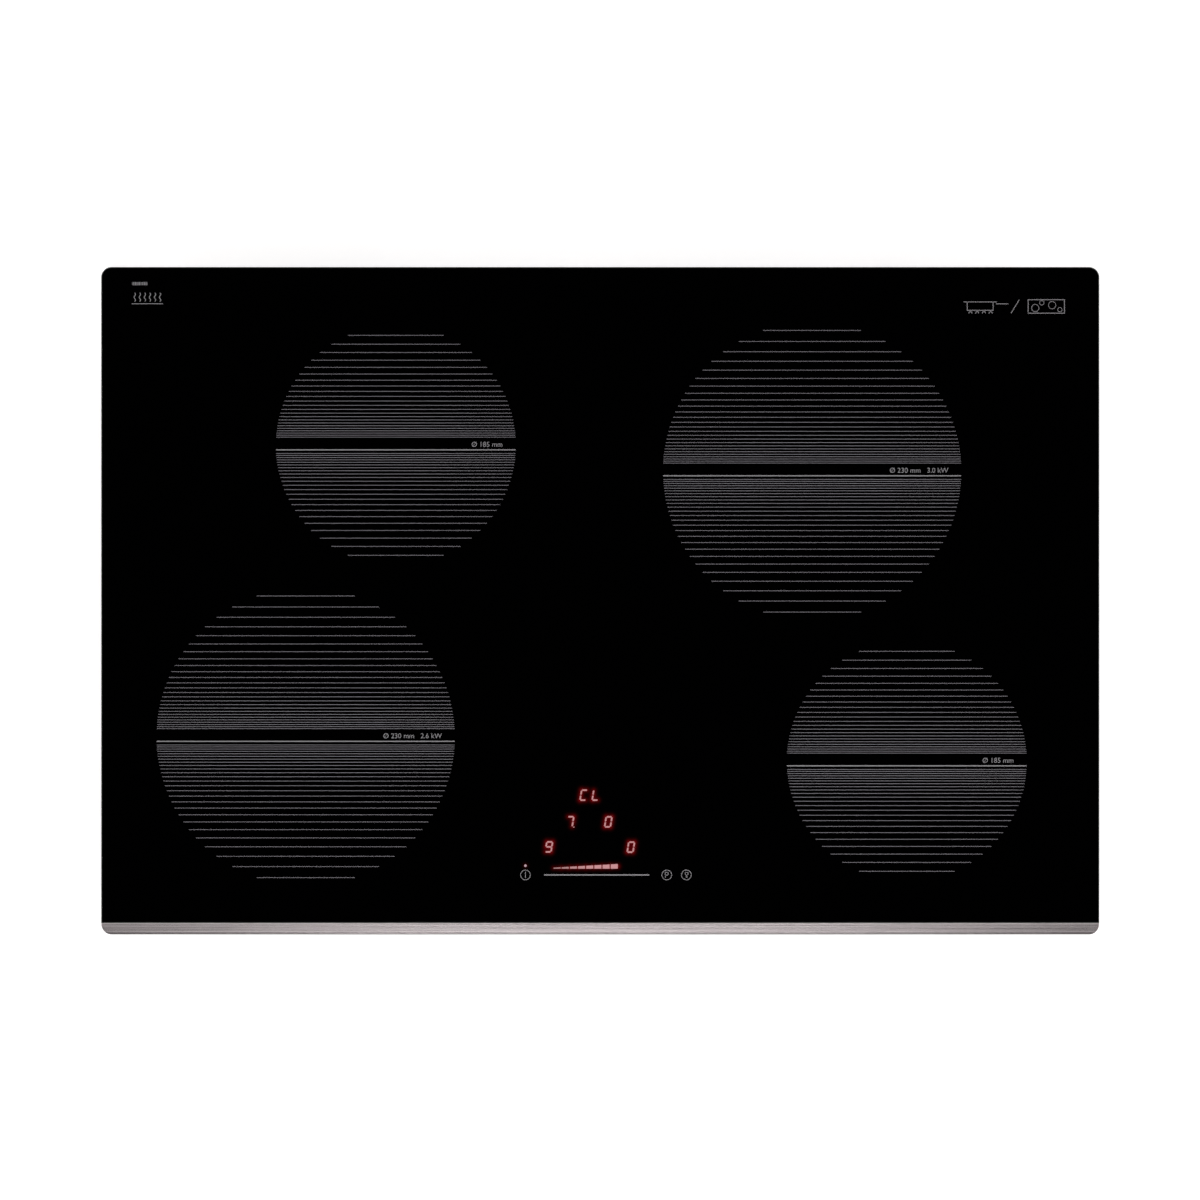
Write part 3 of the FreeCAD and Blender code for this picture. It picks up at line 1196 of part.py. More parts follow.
def write():
    """Writes each sub-part to its own STEP file."""
    os.makedirs("parts", exist_ok=True)
    for part in PARTS:
        part.Shape.exportStep(f"parts/{part.Label}.step")
        print(part.Label, len(part.Shape.Solids), round(part.Shape.Volume / 1000, 2), "cm3")


build()
check()
write()
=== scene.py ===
"""The looks of a built-in induction cooktop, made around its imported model.

Everything is in metres, in the model's frame: X to the right, Y to the back, Z up, with the origin in
the middle of the worktop's top face. Each sub-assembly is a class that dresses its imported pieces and
adds the pieces that only show: the printed decor, lit digits, springs, windings and small parts.
"""

import logging
import math
import random
from dataclasses import dataclass, field
from enum import Enum
from typing import Callable, Sequence, Union

import bmesh
import bpy
from mathutils import Matrix, Vector


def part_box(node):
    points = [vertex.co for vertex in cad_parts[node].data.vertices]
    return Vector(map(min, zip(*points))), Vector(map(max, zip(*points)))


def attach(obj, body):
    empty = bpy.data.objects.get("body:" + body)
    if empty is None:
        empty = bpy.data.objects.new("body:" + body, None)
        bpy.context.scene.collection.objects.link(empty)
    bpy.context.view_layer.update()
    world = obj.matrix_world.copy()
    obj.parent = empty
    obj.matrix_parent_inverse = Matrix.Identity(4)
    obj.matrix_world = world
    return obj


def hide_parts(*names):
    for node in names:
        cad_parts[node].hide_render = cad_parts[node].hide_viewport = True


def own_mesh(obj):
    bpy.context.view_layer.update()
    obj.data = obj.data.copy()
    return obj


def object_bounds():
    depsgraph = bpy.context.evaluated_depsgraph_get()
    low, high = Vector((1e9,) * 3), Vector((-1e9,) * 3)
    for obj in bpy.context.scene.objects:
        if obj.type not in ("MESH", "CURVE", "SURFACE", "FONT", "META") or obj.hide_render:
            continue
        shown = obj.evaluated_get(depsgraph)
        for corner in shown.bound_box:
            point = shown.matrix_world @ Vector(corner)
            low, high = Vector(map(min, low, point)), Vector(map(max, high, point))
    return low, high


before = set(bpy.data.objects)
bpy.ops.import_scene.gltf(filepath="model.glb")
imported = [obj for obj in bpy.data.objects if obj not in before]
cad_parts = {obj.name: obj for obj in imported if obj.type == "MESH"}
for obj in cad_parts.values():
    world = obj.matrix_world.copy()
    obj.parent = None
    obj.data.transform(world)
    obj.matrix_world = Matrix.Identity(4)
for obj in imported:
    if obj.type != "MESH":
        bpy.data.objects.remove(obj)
CAD_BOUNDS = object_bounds()

log = logging.getLogger("cooktop")

Color = tuple[float, float, float]
Point = tuple[float, float]
Socket = bpy.types.NodeSocket
Wire = Union[float, Socket]

CASING = "casing"
SIDES = {"left": -1, "right": 1}
ZONE_NAMES = ("front_left", "rear_left", "rear_right", "front_right")
CORNER_NAMES = ("front_left", "front_right", "rear_left", "rear_right")


# ---------------------------------------------------------------- wiring of shader nodes

class Wiring:
    """Adds nodes to one node tree and links them."""

    def __init__(self, tree: bpy.types.NodeTree) -> None:
        """Keeps the tree that is wired."""
        self.tree = tree

    @property
    def shader(self) -> bpy.types.Node:
        """Returns the material's shader."""
        return self.tree.nodes["Principled BSDF"]

    def give(self, node: bpy.types.Node, inputs: dict) -> None:
        """Gives a node its inputs.

        Args:
            node: The node.
            inputs: Constants or sockets, by the input's name or number.
        """
        for name, value in inputs.items():
            if isinstance(value, Socket):
                self.tree.links.new(value, node.inputs[name])
            else:
                node.inputs[name].default_value = value

    def feed(self, name: str, value: object) -> None:
        """Gives the material's shader one input."""
        self.give(self.shader, {name: value})

    def node(self, kind: str, inputs: dict | None = None, **settings: object) -> bpy.types.Node:
        """Adds a node.

        Args:
            kind: The node's type name, without its ShaderNode prefix.
            inputs: Constants or sockets for its inputs.
            settings: Properties of the node.

        Returns:
            The new node.
        """
        made = self.tree.nodes.new(f"ShaderNode{kind}")
        for name, value in settings.items():
            setattr(made, name, value)
        self.give(made, inputs or {})
        return made

    def group(self, effect: bpy.types.NodeTree, **inputs: float) -> Socket:
        """Places a shared effect and returns its result."""
        return self.node("Group", inputs, node_tree=effect).outputs[0]

    def math(self, work: str, first: Wire, second: Wire = 0.0, clamp: bool = False) -> Socket:
        """Returns the result of a Math node."""
        return self.node("Math", {0: first, 1: second}, operation=work, use_clamp=clamp).outputs[0]

    def times(self, first: Wire, second: Wire) -> Socket:
        """Returns the product of two numbers."""
        return self.math("MULTIPLY", first, second)

    def blend(self, share: Wire, first: object, second: object) -> Socket:
        """Returns a colour between two colours."""
        ends = [(*end, 1.0) if isinstance(end, tuple) else end for end in (first, second)]
        return self.node("Mix", {0: share, 6: ends[0], 7: ends[1]}, data_type="RGBA").outputs[2]

    def blend_value(self, share: Wire, first: Wire, second: Wire) -> Socket:
        """Returns a number between two numbers."""
        return self.node("Mix", {0: share, 2: first, 3: second}, data_type="FLOAT").outputs[0]

    def fade(self, value: Socket, low: float, high: float, to_low: float = 0.0,
             to_high: float = 1.0) -> Socket:
        """Returns a value carried smoothly from one range to another."""
        ends = {0: value, 1: low, 2: high, 3: to_low, 4: to_high}
        return self.node("MapRange", ends, interpolation_type="SMOOTHSTEP").outputs[0]

    def place(self) -> Socket:
        """Returns the point on the surface in the piece's own frame."""
        return self.node("TexCoord").outputs["Object"]

    def up(self) -> Socket:
        """Returns how far the surface looks up, from -1 to 1."""
        return self.node("SeparateXYZ", {0: self.node("TexCoord").outputs["Normal"]}).outputs[2]

    def stretch(self, scale: Color) -> Socket:
        """Returns the point on the surface with each axis scaled."""
        return self.node("Mapping", {"Vector": self.place(), "Scale": scale}).outputs[0]

    def noise(self, vector: Socket, scale: Wire, detail: float = 4.0, rough: float = 0.5) -> Socket:
        """Returns a soft noise from 0 to 1."""
        inputs = {"Vector": vector, "Scale": scale, "Detail": detail, "Roughness": rough}
        return self.node("TexNoise", inputs).outputs["Fac"]

    def cells(self, scale: Wire, result: str, **settings: object) -> Socket:
        """Returns the distance or the colour of Voronoi cells."""
        return self.node("TexVoronoi", {"Vector": self.place(), "Scale": scale}, **settings).outputs[result]


Given = dict[str, Socket]


def shader_group(name: str, inputs: dict[str, float], result: str,
                 wire: Callable[[Wiring, Given], Socket]) -> bpy.types.NodeTree:
    """Builds a shared effect once.

    Args:
        name: The group's name.
        inputs: Name and starting value of each number that goes in.
        result: The name of the number that comes out.
        wire: Wires the effect, given the inputs' sockets, and returns the result's socket.

    Returns:
        The node group.
    """
    tree = bpy.data.node_groups.new(name, "ShaderNodeTree")
    for title, value in inputs.items():
        made = tree.interface.new_socket(title, in_out="INPUT", socket_type="NodeSocketFloat")
        made.default_value = value
    tree.interface.new_socket(result, in_out="OUTPUT", socket_type="NodeSocketFloat")
    entry, leave = tree.nodes.new("NodeGroupInput"), tree.nodes.new("NodeGroupOutput")
    found = wire(Wiring(tree), {title: entry.outputs[title] for title in inputs})
    tree.links.new(found, leave.inputs[result])
    return tree


def wire_mottle(wiring: Wiring, given: Given) -> Socket:
    """Wires broad cloudy variation with finer stains in it.

    Args:
        wiring: The group's wiring.
        given: Its inputs' sockets.

    Returns:
        How light the place is.
    """
    place = wiring.place()
    broad = wiring.noise(place, given["Scale"], 5.0, 0.6)
    fine = wiring.noise(place, wiring.times(given["Scale"], 9.0), 3.0)
    return wiring.fade(wiring.math("ADD", wiring.times(broad, 0.7), wiring.times(fine, 0.3)), 0.35, 0.65)


def wire_grain(wiring: Wiring, given: Given) -> Socket:
    """Wires long fine scratches along X or, when turned, along Y.

    Args:
        wiring: The group's wiring.
        given: Its inputs' sockets.

    Returns:
        How light the scratch is.
    """
    x, y, z = wiring.node("SeparateXYZ", {0: wiring.place()}).outputs
    along = wiring.blend_value(given["Turned"], x, y)
    across = wiring.blend_value(given["Turned"], y, x)
    vector = wiring.node("CombineXYZ", {0: wiring.times(along, given["Along"]),
                                        1: wiring.times(across, given["Across"]),
                                        2: wiring.times(z, given["Across"])})
    return wiring.fade(wiring.noise(vector.outputs[0], 1.0, 6.0, 0.7), 0.3, 0.7)


def wire_spangle(wiring: Wiring, given: Given) -> Socket:
    """Wires and returns the shade of the flower-like crystals of zinc on sheet steel."""
    return wiring.node("SeparateColor", {0: wiring.cells(given["Scale"], "Color")}).outputs[0]


def wire_spark(wiring: Wiring, given: Given) -> Socket:
    """Wires the fine pitted texture that a spark-eroded mould leaves.

    Args:
        wiring: The group's wiring.
        given: Its inputs' sockets.

    Returns:
        The texture's height.
    """
    pits = wiring.cells(given["Scale"], "Distance", feature="SMOOTH_F1")
    grit = wiring.noise(wiring.place(), given["Scale"], 2.0)
    return wiring.math("ADD", pits, wiring.times(grit, 0.5))


def wire_dust(wiring: Wiring, given: Given) -> Socket:
    """Wires dust that settles on faces that look up.

    Args:
        wiring: The group's wiring.
        given: Its inputs' sockets.

    Returns:
        How much the dust covers.
    """
    specks = wiring.fade(wiring.noise(wiring.place(), 900.0, 2.0, 0.6), 0.45, 0.75)
    clouds = wiring.fade(wiring.noise(wiring.place(), 18.0, 3.0, 0.5), 0.3, 0.8)
    settled = wiring.times(wiring.times(specks, clouds), wiring.fade(wiring.up(), 0.3, 0.9))
    return wiring.math("MULTIPLY", settled, given["Amount"], clamp=True)


MOTTLE = shader_group("mottle", {"Scale": 20.0}, "Shade", wire_mottle)
GRAIN = shader_group("grain", {"Along": 12.0, "Across": 2600.0, "Turned": 0.0}, "Grain", wire_grain)
SPANGLE = shader_group("spangle", {"Scale": 90.0}, "Shade", wire_spangle)
SPARK = shader_group("spark_texture", {"Scale": 1400.0}, "Height", wire_spark)
DUST = shader_group("settled_dust", {"Amount": 0.3}, "Mask", wire_dust)


# ---------------------------------------------------------------- finishes

class GrainWay(Enum):
    """Which way a brushed or rolled grain runs."""

    ALONG_X = 0.0
    ALONG_Y = 1.0


def dimmed(color: Color, share: float) -> Color:
    """Returns a colour with only a share of its light."""
    return tuple(c * share for c in color)


@dataclass(frozen=True)
class Finish:
    """What every finish has.

    Attributes:
        name: The material's name.
        color: Its base colour, linear.
        roughness: Its middle roughness.
        metallic: 1 for bare metal, 0 for everything else.
    """

    name: str
    color: Color
    roughness: float = 0.5
    metallic: float = 0.0

    def material(self) -> bpy.types.Material:
        """Finds the finish's material, or builds it the first time.

        Returns:
            The material.
        """
        found = bpy.data.materials.get(self.name)
        if found:
            return found
        made = bpy.data.materials.new(self.name)
        made.use_nodes = True
        wiring = Wiring(made.node_tree)
        wiring.feed("Base Color", (*self.color, 1.0))
        wiring.feed("Roughness", self.roughness)
        wiring.feed("Metallic", self.metallic)
        self.wire(wiring)
        return made

    def wire(self, wiring: Wiring) -> None:
        """Adds what sets this finish apart to its shader."""

    def shades(self, wiring: Wiring, shade: Socket, spread: float) -> None:
        """Lets the base colour darken by a share where a value from 0 to 1 is low."""
        wiring.feed("Base Color", wiring.blend(shade, dimmed(self.color, 1.0 - spread), self.color))

    def rough(self, wiring: Wiring, shade: Socket, spread: float) -> None:
        """Lets the roughness vary about its middle by a spread each way."""
        low, high = max(0.0, self.roughness - spread), min(1.0, self.roughness + spread)
        wiring.feed("Roughness", wiring.fade(shade, 0.0, 1.0, low, high))

    def bump(self, wiring: Wiring, height: Socket, depth: float, strength: float = 1.0) -> None:
        """Raises the surface by a height of some depth in metres."""
        made = wiring.node("Bump", {"Height": height, "Distance": depth, "Strength": strength})
        wiring.feed("Normal", made.outputs[0])


@dataclass(frozen=True)
class BlackGlass(Finish):
    """Polished black glass-ceramic with a ground edge.

    Attributes:
        edge_color: The colour of the ground bevel and the sides.
        edge_roughness: Their roughness.
        bend: The glass's index of refraction.
    """

    edge_color: Color = (0.035, 0.042, 0.038)
    edge_roughness: float = 0.32
    bend: float = 1.52

    def wire(self, wiring: Wiring) -> None:
        """Grinds the edge and leaves a trace of wiping on the polish.

        Args:
            wiring: The material's wiring.
        """
        edge = wiring.fade(wiring.math("ABSOLUTE", wiring.up()), 0.995, 0.9)
        wiring.feed("Base Color", wiring.blend(edge, self.color, self.edge_color))
        wipes = wiring.noise(wiring.stretch((3.0, 14.0, 1.0)), 1.6, 4.0, 0.6)
        polish = wiring.fade(wipes, 0.35, 0.75, self.roughness * 0.6, self.roughness * 1.5)
        wiring.feed("Roughness", wiring.blend_value(edge, polish, self.edge_roughness))
        wiring.feed("IOR", self.bend)


@dataclass(frozen=True)
class BrushedMetal(Finish):
    """Metal with a long fine grain.

    Attributes:
        way: Which way the grain runs.
        depth: How deep the grain is, in metres.
        spread: How much the grain changes the colour.
        along: How quickly the grain changes along itself.
        across: How fine it is across.
    """

    way: GrainWay = GrainWay.ALONG_X
    depth: float = 0.000004
    spread: float = 0.12
    along: float = 12.0
    across: float = 2600.0

    def wire(self, wiring: Wiring) -> None:
        """Lays the grain into colour, roughness and relief.

        Args:
            wiring: The material's wiring.
        """
        grain = wiring.group(GRAIN, Along=self.along, Across=self.across, Turned=self.way.value)
        self.shades(wiring, grain, self.spread)
        self.rough(wiring, grain, 0.07)
        self.bump(wiring, grain, self.depth)


@dataclass(frozen=True)
class EdgedMetal(BrushedMetal):
    """Brushed strip with painted highlights at its rear edge and on a fine line, and painted shade on its
    rolled front edge.

    Attributes:
        rear: Where its rear edge is, front to back.
        front: Where its front edge is.
        top: How high its top face is.
        polish: How much lighter the painted highlights at the rear edge and on the line make the colour, as
            a share.
        shade: How much of the colour the painted shade on the rolled front edge keeps.
        rear_highlight: How far before the rear edge the painted highlight begins and is full.
        highlight_line_front: How far behind the front edge the painted highlight line begins and is full.
        highlight_line_rear: How far behind it the painted highlight line has gone and is still full.
        rolled: How far behind it the painted shade on the rolled edge has gone and is still full.
        rolled_drop: How far below the top face it has gone and is still full.
    """

    rear: float = 0.0
    front: float = 0.0
    top: float = 0.0
    # How strong the painted highlights and the painted shade are, then the bands where they lie.
    polish: float = 0.13
    shade: float = 0.4
    rear_highlight: Point = (0.0013, 0.0007)
    highlight_line_front: Point = (0.0019, 0.0023)
    highlight_line_rear: Point = (0.0033, 0.0028)
    rolled: Point = (0.0021, 0.0015)
    rolled_drop: Point = (0.0016, 0.0011)

    def wire(self, wiring: Wiring) -> None:
        """Lays the grain, then the painted highlights and the painted shade of the edges over it.

        Args:
            wiring: The material's wiring.
        """
        super().wire(wiring)
        _, y, z = wiring.node("SeparateXYZ", {0: wiring.place()}).outputs
        # Painted highlights: a band just before the rear edge and a fine line behind the front edge.
        rear_highlight = wiring.fade(y, *(self.rear - d for d in self.rear_highlight))
        begun, left, rolled = (wiring.fade(y, *(self.front + d for d in ends))
                               for ends in (self.highlight_line_front, self.highlight_line_rear, self.rolled))
        light = wiring.times(wiring.math("ADD", rear_highlight, wiring.times(begun, left)), self.polish)
        # Painted shade over the rolled front edge, where it drops below the top face.
        edge = wiring.times(rolled, wiring.fade(z, *(self.top - d for d in self.rolled_drop)))
        shade = wiring.math("ADD", light, wiring.times(edge, self.shade - 1.0))
        plain = wiring.shader.inputs["Base Color"].links[0].from_socket
        color = wiring.node("VectorMath", {0: plain, 3: wiring.math("ADD", shade, 1.0)}, operation="SCALE")
        wiring.feed("Base Color", color.outputs[0])


@dataclass(frozen=True)
class ZincSheet(Finish):
    """Zinc-coated sheet steel with a spangle and handling marks.

    Attributes:
        crystals: How many crystals a metre holds.
        stains: How many stains a metre holds.
    """

    crystals: float = 120.0
    stains: float = 14.0

    def wire(self, wiring: Wiring) -> None:
        """Lays spangle, cloudy stains and the rolling mill's ripple.

        Args:
            wiring: The material's wiring.
        """
        shade = wiring.blend_value(0.45, wiring.group(SPANGLE, Scale=self.crystals),
                                   wiring.group(MOTTLE, Scale=self.stains))
        self.shades(wiring, shade, 0.22)
        self.rough(wiring, shade, 0.1)
        self.bump(wiring, wiring.noise(wiring.stretch((30.0, 260.0, 260.0)), 1.0, 3.0), 0.00004, 0.5)


@dataclass(frozen=True)
class Moulded(Finish):
    """Moulded plastic with a spark-eroded texture.

    Attributes:
        pits: How many pits a metre holds.
        depth: How deep they are, in metres.
        dust: How much dust lies on it.
        dust_color: The dust's colour.
    """

    pits: float = 1400.0
    depth: float = 0.00004
    dust: float = 0.15
    dust_color: Color = (0.42, 0.41, 0.39)

    def wire(self, wiring: Wiring) -> None:
        """Lays pits, a faint flow of colour and dust.

        Args:
            wiring: The material's wiring.
        """
        flow = wiring.group(MOTTLE, Scale=35.0)
        plain = wiring.blend(flow, dimmed(self.color, 0.82), self.color)
        wiring.feed("Base Color", wiring.blend(wiring.group(DUST, Amount=self.dust), plain, self.dust_color))
        self.rough(wiring, flow, 0.06)
        self.bump(wiring, wiring.group(SPARK, Scale=self.pits), self.depth, 0.6)


@dataclass(frozen=True)
class Foam(Finish):
    """Closed-cell foam, silicone or cast rubber.

    Attributes:
        cells: How many cells a metre holds.
        depth: How deep they are, in metres.
    """

    cells: float = 1800.0
    depth: float = 0.0001

    def wire(self, wiring: Wiring) -> None:
        """Lays open cells and a slight change of shade.

        Args:
            wiring: The material's wiring.
        """
        cells = wiring.cells(self.cells, "Distance")
        self.shades(wiring, cells, 0.35)
        self.bump(wiring, cells, self.depth, 0.7)


@dataclass(frozen=True)
class PrintedInk(Finish):
    """Ceramic ink fired onto the glass, slightly uneven under a lens."""

    def wire(self, wiring: Wiring) -> None:
        """Lays the fine unevenness of a screen print.

        Args:
            wiring: The material's wiring.
        """
        dots = wiring.noise(wiring.place(), 2600.0, 3.0, 0.6)
        self.shades(wiring, dots, 0.25)
        self.rough(wiring, dots, 0.08)


@dataclass(frozen=True)
class LitPiece(Finish):
    """A lit segment behind the glass, a little brighter in its middle.

    Attributes:
        glow: The colour of its light, linear.
        power: How strong the light is.
        cloud: How many cloudy places the diffuser has in a metre.
    """

    glow: Color = (1.0, 0.2, 0.15)
    power: float = 1.0
    cloud: float = 700.0

    def light(self, wiring: Wiring, color: Socket) -> None:
        """Lets the surface shine in a colour."""
        wiring.feed("Emission Color", color)
        wiring.feed("Emission Strength", self.power)

    def wire(self, wiring: Wiring) -> None:
        """Makes the light a little uneven, as a diffuser does.

        Args:
            wiring: The material's wiring.
        """
        cloud = wiring.fade(wiring.noise(wiring.place(), self.cloud, 2.0), 0.3, 0.7)
        self.light(wiring, wiring.blend(cloud, dimmed(self.glow, 0.8), self.glow))


@dataclass(frozen=True)
class LitBar(LitPiece):
    """A row of lit segments that grow redder and brighter along the mesh's level attribute.

    Attributes:
        start_glow: The colour of the light where the attribute is 0.
    """

    start_glow: Color = (0.2, 0.1, 0.1)

    def wire(self, wiring: Wiring) -> None:
        """Blends the light along the row, a little unevenly.

        Args:
            wiring: The material's wiring.
        """
        level = wiring.node("Attribute", attribute_name="level").outputs["Fac"]
        cloud = wiring.fade(wiring.noise(wiring.place(), self.cloud, 2.0), 0.3, 0.7, 0.88, 1.0)
        self.light(wiring, wiring.blend(wiring.times(level, cloud), self.start_glow, self.glow))


@dataclass(frozen=True)
class GlowingGlass(BlackGlass):
    """Black glass with light that spreads in it, as strong as the mesh's glow attribute says.

    Attributes:
        glow: The colour of the spread light, linear.
        power: How strong it is where the attribute is 1.
    """

    glow: Color = (0.13, 0.002, 0.003)
    power: float = 1.0

    def wire(self, wiring: Wiring) -> None:
        """Adds the spread light to the glass.

        Args:
            wiring: The material's wiring.
        """
        super().wire(wiring)
        spread = wiring.node("Attribute", attribute_name="glow").outputs["Fac"]
        wiring.feed("Emission Color", wiring.blend(spread, (0.0, 0.0, 0.0), self.glow))
        wiring.feed("Emission Strength", self.power)


@dataclass(frozen=True)
class LitzWire(Finish):
    """Twisted enamelled copper strands, laid in a flat spiral about an upright axis.

    Attributes:
        centre: The spiral's centre.
        strands: How many strands pass in a radian of a turn.
        slant: How many radians of twist a metre outwards adds.
    """

    centre: Point = (0.0, 0.0)
    strands: float = 70.0
    slant: float = 3800.0

    def wire(self, wiring: Wiring) -> None:
        """Twists the strands along the spiral.

        Args:
            wiring: The material's wiring.
        """
        split = wiring.node("SeparateXYZ", {0: wiring.place()}).outputs
        x, y = (wiring.math("SUBTRACT", split[k], self.centre[k]) for k in (0, 1))
        radius = wiring.math("SQRT", wiring.math("ADD", wiring.times(x, x), wiring.times(y, y)))
        twist = wiring.math("ADD", wiring.times(wiring.math("ARCTAN2", y, x), self.strands),
                            wiring.times(radius, self.slant))
        strand = wiring.fade(wiring.math("SINE", twist), -1.0, 1.0)
        self.shades(wiring, strand, 0.55)
        self.bump(wiring, strand, 0.0002)


@dataclass(frozen=True)
class Sintered(Finish):
    """A fired or pressed mineral, such as ferrite or mica.

    Attributes:
        flakes: How many flakes a metre holds.
        spread: How much the flakes differ in shade.
    """

    flakes: float = 300.0
    spread: float = 0.4

    def wire(self, wiring: Wiring) -> None:
        """Lays flakes of different shade and a grainy relief.

        Args:
            wiring: The material's wiring.
        """
        shade = wiring.node("SeparateColor", {0: wiring.cells(self.flakes, "Color")}).outputs[1]
        self.shades(wiring, shade, self.spread)
        self.rough(wiring, shade, 0.12)
        self.bump(wiring, wiring.noise(wiring.place(), self.flakes * 5, 3.0), 0.00003)


@dataclass(frozen=True)
class SolderMask(Finish):
    """A circuit board's lacquer with copper tracks under it.

    Attributes:
        track_color: The colour over a track.
        tracks: How many rows of tracks a metre holds.
    """

    track_color: Color = (0.03, 0.2, 0.06)
    tracks: float = 260.0

    def wire(self, wiring: Wiring) -> None:
        """Lays square-cornered tracks under the lacquer.

        Args:
            wiring: The material's wiring.
        """
        layout = {"Vector": wiring.place(), "Scale": self.tracks, "Mortar Size": 0.09,
                  "Brick Width": 3.1, "Row Height": 0.55}
        track = wiring.node("TexBrick", layout, offset_frequency=3, squash_frequency=2).outputs["Fac"]
        wiring.feed("Base Color", wiring.blend(track, self.color, self.track_color))
        self.rough(wiring, track, 0.05)
        self.bump(wiring, track, 0.00003)


@dataclass(frozen=True)
class PaleFloor(Finish):
    """A plain pale floor that glows a little, so that it stays white around the object.

    Attributes:
        power: How much it glows.
    """

    power: float = 0.55

    def wire(self, wiring: Wiring) -> None:
        """Lays a barely visible unevenness.

        Args:
            wiring: The material's wiring.
        """
        self.shades(wiring, wiring.noise(wiring.place(), 1.5, 3.0), 0.02)
        wiring.feed("Emission Color", (1.0, 1.0, 1.0, 1.0))
        wiring.feed("Emission Strength", self.power)


DEEP_BLACK = (0.0002, 0.0002, 0.00024)
GLASS = BlackGlass("black_glass", DEEP_BLACK, 0.03)
GLOWING_GLASS = GlowingGlass("glowing_glass", DEEP_BLACK, 0.03)
TRIM_LOW, TRIM_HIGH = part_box("front_trim")
# Brushed trim whose colour carries painted highlights at the rear edge and on a fine line, and painted shade
# on the front edge.
TRIM_METAL = EdgedMetal("brushed_trim", (0.42, 0.387, 0.393), 0.3, 1.0, depth=0.0000007, spread=0.035,
                        along=4.0, across=5200.0, rear=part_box("glass_plate")[0].y, front=TRIM_LOW.y,
                        top=TRIM_HIGH.z)
ZINC = ZincSheet("zinc_sheet", (0.58, 0.59, 0.6), 0.42, 1.0)
BRIGHT_ZINC = BrushedMetal("bright_zinc", (0.66, 0.66, 0.67), 0.32, 1.0, along=300.0, across=900.0)
YELLOW_ZINC = BrushedMetal("yellow_zinc", (0.6, 0.5, 0.27), 0.38, 1.0, along=60.0, across=700.0)
MILL_ALUMINIUM = BrushedMetal("mill_aluminium", (0.72, 0.72, 0.73), 0.4, 1.0, along=5.0, across=500.0)
EXTRUDED = BrushedMetal("extruded_aluminium", (0.66, 0.66, 0.67), 0.36, 1.0, GrainWay.ALONG_Y,
                        along=6.0, across=900.0)
SPRING_STEEL = BrushedMetal("spring_steel", (0.42, 0.42, 0.43), 0.3, 1.0, along=400.0, across=900.0)
SEAL_FOAM = Foam("seal_foam", (0.035, 0.035, 0.038), 0.9)
BLACK_SILICONE = Foam("black_silicone", (0.03, 0.03, 0.03), 0.55, cells=500.0, depth=0.00004)
RED_SILICONE = Foam("red_silicone", (0.38, 0.045, 0.03), 0.5, cells=400.0, depth=0.00003)
PALE_SILICONE = Foam("pale_silicone", (0.62, 0.6, 0.55), 0.5, cells=500.0, depth=0.00003)
PAD_FOAM = Foam("pad_foam", (0.05, 0.05, 0.05), 0.85)
WHITE_NYLON = Moulded("white_nylon", (0.72, 0.71, 0.66), 0.45)
PALE_PLASTIC = Moulded("pale_plastic", (0.6, 0.6, 0.57), 0.5)
TERMINAL_PLASTIC = Moulded("terminal_plastic", (0.58, 0.55, 0.46), 0.48)
BLACK_PLASTIC = Moulded("black_plastic", (0.03, 0.03, 0.033), 0.5)
COVER_PLASTIC = Moulded("cover_plastic", (0.05, 0.05, 0.055), 0.46, depth=0.00006)
CHIP_EPOXY = Moulded("chip_epoxy", (0.02, 0.02, 0.02), 0.35, pits=2600.0, depth=0.00001, dust=0.05)
CAN_SLEEVE = Moulded("can_sleeve", (0.035, 0.09, 0.26), 0.3, pits=700.0, depth=0.00001, dust=0.1)
PART_CASE = Moulded("part_case", (0.42, 0.34, 0.2), 0.4, pits=1500.0, depth=0.00001, dust=0.05)
FERRITE = Sintered("ferrite", (0.06, 0.06, 0.064), 0.6)
MICA = Sintered("mica", (0.55, 0.45, 0.3), 0.4, flakes=160.0, spread=0.35)
BOARD_LACQUER = SolderMask("board_lacquer", (0.012, 0.11, 0.035), 0.3)
ENAMEL_COPPER = BrushedMetal("enamelled_copper", (0.62, 0.25, 0.11), 0.28, 1.0, along=200.0, across=800.0)
DECOR_INK = PrintedInk("decor_ink", (0.118, 0.114, 0.13), 0.55)
BRIGHT_INK = PrintedInk("bright_ink", (0.212, 0.209, 0.222), 0.5)
LABEL_SILVER = BrushedMetal("label_silver", (0.6, 0.6, 0.6), 0.45, 1.0, along=20.0, across=1500.0)
LABEL_INK = PrintedInk("label_ink", (0.03, 0.03, 0.03), 0.6)
LIT_RED = LitPiece("lit_red", (0.02, 0.005, 0.005), 0.4, glow=(0.52, 0.235, 0.24))
LIT_LAMP = LitPiece("lit_lamp", (0.02, 0.01, 0.01), 0.4, glow=(0.5, 0.33, 0.38))
LIT_BAR = LitBar("lit_bar", (0.02, 0.005, 0.005), 0.4, glow=(0.53, 0.23, 0.245),
                 start_glow=(0.2, 0.13, 0.12))


# ---------------------------------------------------------------- making meshes

def add_mesh(name: str, verts: Sequence, faces: Sequence, finish: Finish,
             body: str = CASING) -> bpy.types.Object:
    """Adds a piece that rides on a body.

    Args:
        name: The piece's name.
        verts: Its points, in the model's frame.
        faces: Its faces as lists of point numbers.
        finish: What it is made of.
        body: The body that it moves with.

    Returns:
        The new object.
    """
    mesh = bpy.data.meshes.new(name)
    mesh.from_pydata([tuple(v) for v in verts], [], [tuple(f) for f in faces])
    work = bmesh.new()
    work.from_mesh(mesh)
    bmesh.ops.recalc_face_normals(work, faces=work.faces)
    work.to_mesh(mesh)
    work.free()
    mesh.materials.append(finish.material())
    made = bpy.data.objects.new(name, mesh)
    bpy.context.scene.collection.objects.link(made)
    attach(made, body)
    return made


